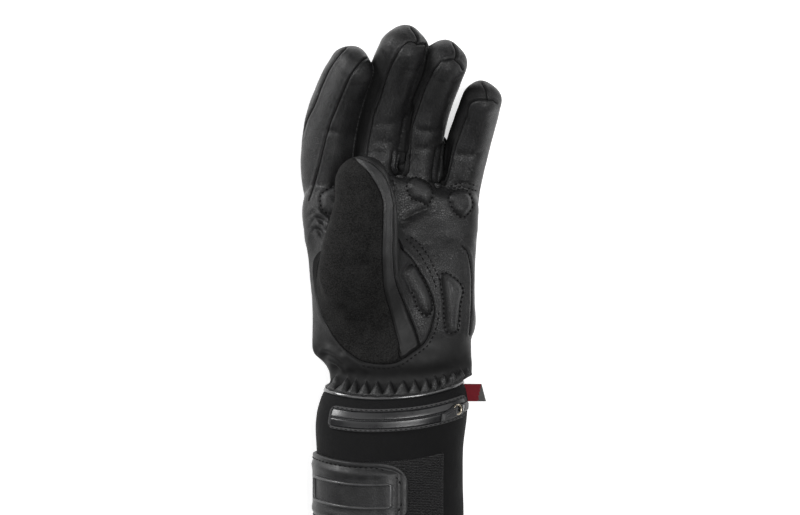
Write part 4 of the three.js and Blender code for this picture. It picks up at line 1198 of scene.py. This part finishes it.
def dress(obj, material, replaces=()):
    """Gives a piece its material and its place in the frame."""
    obj.data.materials.append(MATERIALS[material])
    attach(obj, "root")
    if replaces:
        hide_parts(*replaces)
    return obj


for name, obj in skin_pieces.items():
    own = [name, "wrist_gather"] if name == "hand" else [name]
    dress(obj, "skin", own)
    obj.data.materials.append(MATERIALS["suede"])
    obj.data.materials.append(MATERIALS["back"])
    kinds = np.where((suede > 0)[quads[owner == name]].mean(1) > 0.5, 1, 0)
    kinds = np.where((side_height < 0)[quads[owner == name]].mean(1) > 0.5, 2, kinds)
    obj.data.polygons.foreach_set("material_index", kinds.astype(np.int32))


thumb_face = on_thumb[quads].mean(1) > 0.5


def hit_skin(photo_points):
    """The skin's points and normals where the camera sees points of the photograph. None on the thumb."""
    found = []
    for x, y in (np.asarray(photo_points, float) - PHOTO_CENTRE) * [PHOTO_PIXEL, -PHOTO_PIXEL]:
        aim = Vector((x, y, PIXEL_HEIGHT - EYE[2])).normalized()
        place, normal, face, _ = skin_tree.ray_cast(Vector(EYE * MM), aim)
        if place is not None and not thumb_face[face]:
            found.append((np.array(place) / MM, np.array(normal)))
    return found


def offset_path(path, distance):
    """The path moved sideways, to the left of its direction as it looks in the photograph."""
    path = smooth_path(path)
    along = unit(np.gradient(path, axis=0))
    return path + np.stack([along[:, 1], -along[:, 0]], -1) * distance


BROKEN_STEP = 4


def stitch_row(line, outward, length=1.9, gap=1.1, width=0.85, sink=0.1):
    """Stitches along a line of surface points, as ends, normal and width. None where the line is broken."""
    line, outward = np.asarray(line), np.asarray(outward)
    steps = np.linalg.norm(np.diff(line, axis=0), axis=1)
    along = np.concatenate([[0], np.cumsum(steps)])
    broken = np.flatnonzero(steps > BROKEN_STEP)
    stitches = []
    at = gap
    while at + length < along[-1]:
        ends = np.array([at, at + length])
        segment = np.searchsorted(along, ends)
        if not any(segment[0] - 1 <= b <= segment[1] for b in broken):
            a, b = (np.array([np.interp(e, along, line[:, k]) for k in range(3)]) for e in ends)
            n = unit(np.array([np.interp(ends.mean(), along, outward[:, k]) for k in range(3)]))
            stitches.append((a - n * sink, b - n * sink, n, width))
        at += length + gap
    return stitches


def skin_stitches(photo_points, **sizes):
    """A row of stitches on the skin under points of the photograph."""
    hits = hit_skin(photo_points)
    return stitch_row(*zip(*hits), **sizes) if len(hits) > 1 else []


STITCH_ARCH = 0.35
STITCH_RINGS = 5
STITCH_SIDES = 6


def dress_stitches(name, stitches):
    """One mesh of all the stitches, as arched capsules."""
    shares = np.linspace(0, 1, STITCH_RINGS)
    fat = np.sqrt(np.clip(1 - (2 * shares - 1) ** 2 * 0.92, 0.05, 1))
    angle = np.linspace(0, 2 * math.pi, STITCH_SIDES, endpoint=False)
    capsules = []
    for a, b, n, width in stitches:
        ahead = unit(b - a)
        side = unit(np.cross(ahead, n))
        up = np.cross(side, ahead)
        arch = np.sin(shares * math.pi)[:, None] * up * width * STITCH_ARCH
        centre = a + (b - a) * shares[:, None] + arch
        spokes = side * np.cos(angle)[:, None] + up * np.sin(angle)[:, None]
        capsules.append(centre[:, None] + spokes[None] * (fat * width / 2)[:, None, None])
    starts = np.arange(len(stitches))[:, None, None] * (STITCH_RINGS * STITCH_SIDES)
    faces = (loft_faces(STITCH_RINGS, STITCH_SIDES)[None] + starts).reshape(-1, 4)
    dress(mesh_object(name, np.concatenate(capsules).reshape(-1, 3), faces), "thread")


for name, rows in STITCH_ROWS.items():
    dress_stitches(name, [s for path, distance in rows for s in skin_stitches(offset_path(path, distance))])

PAD_STITCH_INSET = 1.5
PAD_STITCH = dict(length=1.6, gap=1.25, width=1.0)
pad_stitches = []
for name in PADS:
    outline = np.array(OUTLINES[name] + OUTLINES[name][:1], float)
    inset_line = outline + unit(outline[:-1].mean(0) - outline) * PAD_STITCH_INSET
    pad_stitches += skin_stitches(smooth_path(inset_line), **PAD_STITCH)
dress_stitches("pad_stitches", pad_stitches)

# Everything round the cuff has the same steps round it.
TURN_STEPS = 360
cuff_turns = np.linspace(0, 360, TURN_STEPS, endpoint=False)


def cuff_tube(name, rings, material, node):
    """A tube round the cuff, closed through rings that run round its wall."""
    faces = loft_faces(len(rings), TURN_STEPS, closed=True)
    dress(mesh_object(name, keep_off_floor(np.concatenate(rings)), faces), material, [node])


# Piping round the wrist.
PIPING_RADIUS = 1.1
PIPING_SINK = 0.6
PIPING_SIDES = 12
piping_rings = [cuff_point(cuff_turns, PIPING_RADIUS * math.cos(a), PIPING_RADIUS * math.sin(a) - PIPING_SINK)
                for a in np.linspace(0, 2 * math.pi, PIPING_SIDES, endpoint=False)]
piping = mesh_object("piping", keep_off_floor(np.stack(piping_rings, 1).reshape(-1, 3)),
                     loft_faces(TURN_STEPS, PIPING_SIDES, closed=True))
dress(piping, "piping", ["wrist_piping"])

# Cuff: an outer skin and a lining joined at the wrist and at the hem.
OUTER_STEPS = 110
INNER_STEPS = 40
outer_downs = np.concatenate([[0.7, 0.9, 1.2, 1.6, 2.1], np.linspace(2.8, CUFF_LENGTH, OUTER_STEPS)])
outer_heights = np.concatenate([[-1.8, -1.2, -0.7, -0.25, -0.05], np.zeros(OUTER_STEPS)])
WAVE_RADIUS = 40


def cuff_undulation(turn, down):
    """Slow waves in the cuff's cloth, away from the parts that are sewn on."""
    angle = np.radians(turn)
    place = np.stack([np.sin(angle) * WAVE_RADIUS, down, np.cos(angle) * WAVE_RADIUS], -1)
    return 0.5 * lattice_noise(place.reshape(-1, 3), 19, 3).reshape(down.shape) * smoothstep(down, 2, 10)


turn_grid, down_grid = np.meshgrid(cuff_turns, outer_downs)
height_grid = outer_heights[:, None] + cuff_undulation(turn_grid, down_grid)
for seam_turn in (-90, 90):
    gap = np.abs((turn_grid - seam_turn + 180) % 360 - 180) * ZIP_MM_PER_TURN
    height_grid -= 0.6 * bell(gap, 1.0) + 0.3 * bell(gap, 4.0)
cuff_photo = to_photo(cuff_point(turn_grid, down_grid, 0).reshape(-1, 3))
side_gap = path_distance(cuff_photo, smooth_path(CUFF_SIDE_SEAM), 10) * PHOTO_PIXEL
side_gap = side_gap.reshape(turn_grid.shape)
side_gap[np.abs(turn_grid) > 90] = FAR
height_grid -= 1.0 * bell(side_gap, 0.7) - 0.4 * bell(side_gap, 0.8, 1.7)
outer = cuff_point(turn_grid, down_grid, height_grid)
turn_grid, down_grid = np.meshgrid(cuff_turns, [*np.linspace(CUFF_LENGTH, 2, INNER_STEPS), 1.0, 0.7])
height_grid = cuff_undulation(turn_grid + 40, down_grid) * 0.6 - CUFF_WALL
height_grid[-1] = -2.4
inner = cuff_point(turn_grid, down_grid, height_grid)
cuff_tube("cuff_shell", [*outer, *inner], "softshell", "cuff")

# Hem binding: its outside, its round edge and its inside.
HEM_START, HEM_LENGTH, HEM_LIP = CUFF_LENGTH - 0.2, 6.3, 0.6
HEM_END = HEM_START + HEM_LENGTH
HEM_INSIDE = -CUFF_WALL - 0.2
HEM_RIPPLE = 0.18
hem_profile = [(HEM_START + HEM_LENGTH * s, HEM_LIP * math.sin(math.pi * min(s * 4, 1) / 2) - 0.3 * s**6)
               for s in np.linspace(0, 1, 14)]
hem_profile += [(HEM_END + 0.5 * math.sin(a), lerp(HEM_LIP - 0.3, HEM_INSIDE, (1 - math.cos(a)) / 2))
                for a in np.linspace(0, math.pi, 9)[1:-1]]
hem_profile += [(HEM_START + HEM_LENGTH * s, HEM_INSIDE) for s in np.linspace(1, 0, 8)]
turn_angles = np.radians(cuff_turns)
ripple = HEM_RIPPLE * np.sin(turn_angles * 60 + 2 * np.sin(turn_angles * 7))
hem_rings = [cuff_point(cuff_turns, down, height + ripple * (height > 0)) for down, height in hem_profile]
cuff_tube("hem_binding", hem_rings, "binding", "cuff_hem")

# Lining of the hand, seen up the cuff, closed by a round end.
LINING_INSET = 4
LINING_BULGE = 4
LINING_SIDES = 120
lining_rings = [cuff_point(90 - np.linspace(0, 360, LINING_SIDES, endpoint=False), 1.0, -3.0),
                *palm_rings(-LINING_INSET, LINING_SIDES, 40)[:-2]]
end = lining_rings[-1]
middle = end.mean(0)
for s in (0.9, 0.7, 0.4, 0.05):
    lining_rings.append(middle + (end - middle) * s + [0, LINING_BULGE * (1 - s), 0])
lining = mesh_object("hand_lining", np.concatenate(lining_rings),
                     loft_faces(len(lining_rings), LINING_SIDES)[:, ::-1])
dress(lining, "lining")


SLAB_EDGE = 0.35


def cuff_slab(name, turns, edges, base, thickness, columns, rows, corner, shape=None):
    """A flat piece bent over the cuff with rounded edges. shape(turn, down, edge distance) adds height."""
    turn = np.linspace(*turns, columns)
    low, high = np.array([edges(t) for t in turn]).T[..., None]
    across = (1 - np.cos(np.linspace(0, math.pi, rows))) / 2
    down = low + (high - low) * across
    after, before = (cuff_point(turn.mean() + step, down.mean(), 0) for step in (1, -1))
    mm_per_turn = np.linalg.norm(after - before) / 2
    turn = np.repeat(turn[:, None], rows, 1)
    side = np.minimum(turn - turns[0], turns[1] - turn) * mm_per_turn
    edge = np.minimum(np.minimum(down - low, high - down), side)
    rounded = np.sqrt(np.clip(1 - (1 - np.clip(edge / corner, 0, 1)) ** 2, 0, 1))
    base = np.repeat([[base(t) if callable(base) else base] for t in turn[:, 0]], rows, 1)
    height = base + thickness * lerp(SLAB_EDGE, 1, rounded)
    if shape:
        height = height + shape(turn, down, edge)
    over, under = cuff_point(turn, down, height), cuff_point(turn, down, base)
    rings = np.concatenate([over, under[:, ::-1]], axis=1)
    count = rings.shape[1]
    start = np.arange(rows - 1)
    end = np.stack([start, start + 1, count - 2 - start, count - 1 - start], -1)
    faces = [loft_faces(columns, count)[:, ::-1], end, (end + (columns - 1) * count)[:, ::-1]]
    return mesh_object(name, keep_off_floor(rings.reshape(-1, 3)), np.concatenate(faces))


def rounded_loop(turns, middle, half, corner, side_steps, corner_steps):
    """A rounded rectangle on the cuff: each point's turn and down, and its outward direction in both."""
    left, right = turns[0] + corner[0], turns[1] - corner[0]
    high, low = middle - half + corner[1], middle + half - corner[1]
    loop = []
    for quarter, (turn, down) in enumerate(((right, high), (right, low), (left, low), (left, high))):
        if quarter % 2 == 0:
            side = quarter - 1
            loop += [(t, middle + side * half, 0, side)
                     for t in np.linspace(left + right - turn, turn, side_steps)[1:-1]]
        for a in np.radians(np.linspace(-90, 0, corner_steps) + 90 * quarter):
            c, s = math.cos(a), math.sin(a)
            loop.append((turn + corner[0] * c, down + corner[1] * s, c, s))
    return np.roll(loop, 1, axis=0)


def loop_loft(name, loop, profile, mm_per_turn, base=0.0):
    """A closed frame along a loop on the cuff, with a profile in mm outward and off the cuff."""
    rings = [cuff_point(loop[:, 0] + loop[:, 2] * offset / mm_per_turn, loop[:, 1] + loop[:, 3] * offset,
                        base + height) for offset, height in profile]
    points = np.stack(rings, 1).reshape(-1, 3)
    return mesh_object(name, points, loft_faces(len(loop), len(profile), closed=True))


# Zip: stitched frame with a window, two coated tapes, the coil and its slider.
ZIP_DOWN = 13
ZIP_TURNS = (-52, 71)
ZIP_WINDOW = (-49.5, 68)
ZIP_FRAME_HALF = 5.9
ZIP_CORNER = (4.5, 3.2)
ZIP_FRAME_PROFILE = [(-0.8, 0.05), (-0.8, 0.7), (-0.608, 1.25), (-0.24, 1.5), (0.24, 1.5), (0.608, 1.2),
                     (0.8, 0.6), (0.8, 0.05)]
ZIP_FRAME_TOP = 1.5


def around_zip(low, high):
    """Edges of a slab that runs along the zip."""
    return lambda turn: (ZIP_DOWN + low, ZIP_DOWN + high)


frame_loop = rounded_loop(((ZIP_TURNS[0] + ZIP_WINDOW[0]) / 2, (ZIP_TURNS[1] + ZIP_WINDOW[1]) / 2), ZIP_DOWN,
                          ZIP_FRAME_HALF, ZIP_CORNER, side_steps=150, corner_steps=8)
dress(loop_loft("zip_window_frame", frame_loop, ZIP_FRAME_PROFILE, ZIP_MM_PER_TURN), "frame",
      ["zip_frame"])

# The frame's stitches face out of the cuff and lean towards the hand.
frame_line = cuff_point(frame_loop[:, 0], frame_loop[:, 1], ZIP_FRAME_TOP)
frame_line = np.vstack([frame_line, frame_line[:1]])
lean = -cuff_point(0, ZIP_DOWN, 0)[1]
frame_normals = unit(frame_line * [1, 0, 1] + [0, lean, -20])
dress_stitches("zip_frame_stitches", stitch_row(frame_line, frame_normals, width=0.5))

TAPE_GAP, TAPE_EDGE = 0.35, 5.0
TAPE_RISE = 0.35
COIL_HALF = 0.6
TEETH_HEIGHT, TEETH_PER_TURN = 0.25, 3.4


def tape_shape(turn, down, edge):
    """The tapes rise towards the coil."""
    return TAPE_RISE * smoothstep(np.abs(down - ZIP_DOWN), TAPE_EDGE, 0.5)


def coil_shape(turn, down, edge):
    return TEETH_HEIGHT * np.sin(turn * TEETH_PER_TURN)


tape_turns = (ZIP_WINDOW[0] + 0.2, ZIP_WINDOW[1] - 0.2)
for name, low, high in (("zip_tape_upper", -TAPE_EDGE, -TAPE_GAP), ("zip_tape_lower", TAPE_GAP, TAPE_EDGE)):
    tape = cuff_slab(name + "_coated", tape_turns, around_zip(low, high), base=0.3, thickness=0.7,
                     columns=200, rows=24, corner=0.8, shape=tape_shape)
    dress(tape, "tape", [name])
coil = cuff_slab("zip_teeth", tape_turns, around_zip(-COIL_HALF, COIL_HALF), base=0.3, thickness=0.6,
                 columns=400, rows=8, corner=0.4, shape=coil_shape)
dress(coil, "coil", ["zip_coil"])

SLIDER_TURN, SLIDER_HALF_TURN = 62, 4.8
SLIDER_HALF, SLIDER_CURVE = 2.7, 0.5


def slider_edges(turn):
    """The slider is narrower towards both ends."""
    half = SLIDER_HALF - SLIDER_CURVE * ((turn - SLIDER_TURN) / SLIDER_HALF_TURN) ** 2
    return ZIP_DOWN - half, ZIP_DOWN + half


slider_turns = (SLIDER_TURN - SLIDER_HALF_TURN, SLIDER_TURN + SLIDER_HALF_TURN)
slider = cuff_slab("slider_body", slider_turns, slider_edges, base=1.6, thickness=2.6, columns=30, rows=24,
                   corner=1.1)
dress(slider, "slider", ["zip_slider"])

RING_RADIUS, RING_WIRE = 2.8, 1.0
RING_TURN = 54.5


def ring_mesh(name, centre, along, across, around=48, sides=12):
    """A ring of round wire in the plane of two directions."""
    a = np.linspace(0, 2 * math.pi, around, endpoint=False)[:, None, None]
    b = np.linspace(0, 2 * math.pi, sides, endpoint=False)[None, :, None]
    outward = (along * np.cos(a) + across * np.sin(a)) * (RING_RADIUS + RING_WIRE / 2 * np.cos(b))
    upward = np.cross(along, across) * (RING_WIRE / 2 * np.sin(b))
    return mesh_object(name, (centre + outward + upward).reshape(-1, 3),
                       loft_faces(around, sides, closed=True))


ring_centre = np.mean(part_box("zip_ring"), axis=0) / MM
ring_along = unit(cuff_point(RING_TURN + 1, ZIP_DOWN, 3) - cuff_point(RING_TURN - 1, ZIP_DOWN, 3))
ring_across = unit(np.array([0, 1, 0]) - ring_along * ring_along[1])
dress(ring_mesh("pull_ring", ring_centre, ring_along, ring_across), "ring", ["zip_ring"])

PULL_TURNS = (35.5, 50.5)
PULL_DROPS = (2.6, 0.4)
PULL_HALVES = (2.294, 3.7)


def pull_edges(turn):
    """The pull hangs a little down from its ring, and is narrower at its free end."""
    share = (turn - PULL_TURNS[0]) / (PULL_TURNS[1] - PULL_TURNS[0])
    middle, half = ZIP_DOWN + lerp(*PULL_DROPS, share), lerp(*PULL_HALVES, share)
    return middle - half, middle + half


def pull_groove(turn, down, edge):
    """A groove all round, a little inside the edge."""
    return -0.35 * smoothstep(edge, 1.0, 1.5) * (1 - smoothstep(edge, 2.2, 2.6))


pull = cuff_slab("pull_tab", PULL_TURNS, pull_edges, base=2.1, thickness=2.2, columns=40, rows=24, corner=1.2,
                 shape=pull_groove)
dress(pull, "pull", ["zip_pull"])

# Loop patch, strap and the bare raised frame of its badge.
STRAP_DOWN = 37.2
STRAP_WIDTH = 40
STRAP_CORNER = 15
STRAP_TURNS = (-116, 11)
STRAP_STITCH_INSET = 3.4
STRAP_STITCH = dict(length=2.0, gap=1.3, width=0.85, sink=0.0)
LOOP_TURNS = (-14, 42)
LOOP_RAGGED = 0.4
ZIGZAG_WIDTH, ZIGZAG_PITCH = 2.6, 1.9


def strap_edges(turn):
    """The strap's loose end has round corners."""
    past = max(STRAP_CORNER - (STRAP_TURNS[1] - turn) * STRAP_MM_PER_TURN, 0)
    cut = STRAP_CORNER - math.sqrt(max(STRAP_CORNER**2 - past**2, 0.02 * STRAP_CORNER**2))
    return STRAP_DOWN + cut, STRAP_DOWN + STRAP_WIDTH - cut


def strap_base(turn):
    """The strap climbs from the cuff onto the loop patch."""
    return 0.3 + 1.4 * float(smoothstep(turn, LOOP_TURNS[0] - 45, LOOP_TURNS[0] + 4))


def strap_shape(turn, down, edge):
    """Stitch channel near the edge and a slight swell inside it."""
    swell = smoothstep(edge, 3.6, 7.0) * (1 - 0.6 * smoothstep(edge, 7.0, 11.0))
    return 0.9 * swell - 0.4 * bell(edge, 0.8, STRAP_STITCH_INSET)


def loop_edges(turn):
    """The patch's upper edge is a little ragged."""
    return STRAP_DOWN + LOOP_RAGGED * math.sin(turn * 5.3), STRAP_DOWN + STRAP_WIDTH


def loop_shape(turn, down, edge):
    """Zigzag rows of loops, with flat woven edges."""
    zigzag = np.abs((turn * STRAP_MM_PER_TURN / ZIGZAG_WIDTH) % 1 - 0.5) * 4
    rows = np.sin(down * 2 * math.pi / ZIGZAG_PITCH + zigzag * 1.7)
    return 0.5 * rows * smoothstep(edge, 0.6, 1.6)


loop_patch = cuff_slab("loop_pile", LOOP_TURNS, loop_edges, base=0.3, thickness=1.1, columns=190, rows=136,
                       corner=0.8, shape=loop_shape)
dress(loop_patch, "loop", ["loop_patch"])
strap = cuff_slab("closure_strap", STRAP_TURNS, strap_edges, strap_base, thickness=2.0, columns=220, rows=72,
                  corner=1.1, shape=strap_shape)
dress(strap, "strap", ["strap"])

# The strap's stitches run along one edge, across the loose end and back along the other edge.
inset_turn = STRAP_STITCH_INSET / STRAP_MM_PER_TURN
inset_down = STRAP_STITCH_INSET * 0.9
one_way = np.linspace(STRAP_TURNS[0] + 6, STRAP_TURNS[1] - inset_turn, 160)
upper, lower = np.array([strap_edges(min(t + inset_turn, STRAP_TURNS[1] - 0.1)) for t in one_way]).T
stitch_turns = np.concatenate([one_way, one_way[::-1]])
stitch_downs = np.concatenate([upper + inset_down, lower[::-1] - inset_down])
strap_heights = np.array([strap_base(t) for t in stitch_turns]) + 1.6
strap_line = cuff_point(stitch_turns, stitch_downs, strap_heights)
off_cuff, on_cuff = (cuff_point(stitch_turns, stitch_downs, height) for height in (1, 0))
strap_normals = unit(off_cuff - on_cuff)
dress_stitches("strap_stitches", stitch_row(strap_line, strap_normals, **STRAP_STITCH))

BADGE_TURNS = (-73.2, 0.2)
BADGE_HALF = 6.8
BADGE_CORNER = (1.2, 1.0)
BADGE_PROFILE = [(-0.8, 0.0), (-0.8, 0.7), (-0.5, 1.3), (0.5, 1.3), (0.8, 0.7), (0.8, 0.0)]
badge_loop = rounded_loop(BADGE_TURNS, STRAP_DOWN + STRAP_WIDTH / 2, BADGE_HALF, BADGE_CORNER, side_steps=90,
                          corner_steps=6)
badge_base = np.array([strap_base(t) for t in badge_loop[:, 0]]) + 2.2
badge = loop_loft("badge_frame", badge_loop, BADGE_PROFILE, STRAP_MM_PER_TURN, badge_base)
dress(badge, "badge", ["strap_badge"])

# Folded tab in the side seam: a red front half and a grey back half.
tab_low, tab_high = (np.array(v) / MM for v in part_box("label_tab"))
TAB_HIDDEN = 3.2
TAB_THICKNESS = 0.8
TAB_SAG = 0.25
TAB_SLANT = 0.2
TAB_RED = (0.52, 0.7)


def tab_fold(start, fold, rise):
    """One side of the tape from its front end, round the fold and back, as x and z."""
    turned = [(fold + rise * math.sin(a), rise * math.cos(a)) for a in np.linspace(0, math.pi, 16)]
    return [(start, rise), *turned, (start, -rise)]


def tab_piece():
    rise = (tab_high[2] - tab_low[2]) / 2
    start, fold = tab_low[0] - TAB_HIDDEN, tab_high[0] - rise
    front = [(x, rise) for x in np.linspace(start, fold, 14)[1:-1]]
    outer = tab_fold(start, fold, rise)
    profile = np.array(outer[:1] + front + outer[1:] + tab_fold(start, fold, rise - TAB_THICKNESS)[::-1])
    rings = []
    for share in np.linspace(0, 1, 24):
        x = start + (profile[:, 0] - start) * (1 - TAB_SLANT * share)
        z = profile[:, 1] + (tab_high[2] + tab_low[2]) / 2 + TAB_SAG * math.sin(share * math.pi)
        rings.append(np.stack([x, np.full(len(profile), lerp(tab_low[1], tab_high[1], share)), z], -1))
    return closed_loft("side_tab", rings)


tab = tab_piece()
dress(tab, "tab_grey", ["label_tab"])
tab.data.materials.append(MATERIALS["tab_red"])
for face in tab.data.polygons:
    across, climb, up = (np.array(face.center) / MM - tab_low) / (tab_high - tab_low)
    if across < lerp(*TAB_RED, climb) and up > 0.5:
        face.material_index = 1

# Floor and light.
floor_mesh = bpy.data.meshes.new("floor")
floor_mesh.from_pydata([(-3, -3, 0), (3, -3, 0), (3, 3, 0), (-3, 3, 0)], [], [(0, 1, 2, 3)])
floor = bpy.data.objects.new("floor", floor_mesh)
bpy.context.scene.collection.objects.link(floor)
floor_shader = Shader("pale_floor", roughness=0.9, Base_Color=(0.86, 0.86, 0.86, 1),
                      Emission_Color=(1, 1, 1, 1), Emission_Strength=0.6)
floor.data.materials.append(floor_shader.material)
floor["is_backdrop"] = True

world = bpy.data.worlds.new("studio")
bpy.context.scene.world = world
world.use_nodes = True
world.node_tree.nodes["Background"].inputs["Color"].default_value = (1, 1, 1, 1)
world.node_tree.nodes["Background"].inputs["Strength"].default_value = 0.07

def area_light(name, place, size, power, aim=(0, 0, 0.02)):
    data = bpy.data.lights.new(name, "AREA")
    data.shape = "RECTANGLE"
    data.size, data.size_y = size
    data.energy = power
    obj = bpy.data.objects.new(name, data)
    obj.location = place
    obj.rotation_mode = "QUATERNION"
    obj.rotation_quaternion = (Vector(aim) - Vector(place)).to_track_quat("-Z", "Y")
    bpy.context.scene.collection.objects.link(obj)


area_light("key_light", (-0.95, 0.52, 0.42), (0.5, 0.3), 10, aim=(0, 0.08, 0.02))
area_light("softbox_light", (-0.62, 0.2, 1.15), (1.0, 0.8), 3)
area_light("side_light", (0.85, 0.3, 0.75), (0.6, 0.7), 1.9)
area_light("front_light", (0.36, 0.0, 1.4), (0.5, 0.5), 13)

camera_data = bpy.data.cameras.new("camera")
camera_data.sensor_width = 36
camera_data.lens = 120
camera = bpy.data.objects.new("camera", camera_data)
camera.location = Vector(EYE * MM)
bpy.context.scene.collection.objects.link(camera)
bpy.context.scene.camera = camera
bpy.context.scene.view_settings.view_transform = "Standard"

low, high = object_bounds()
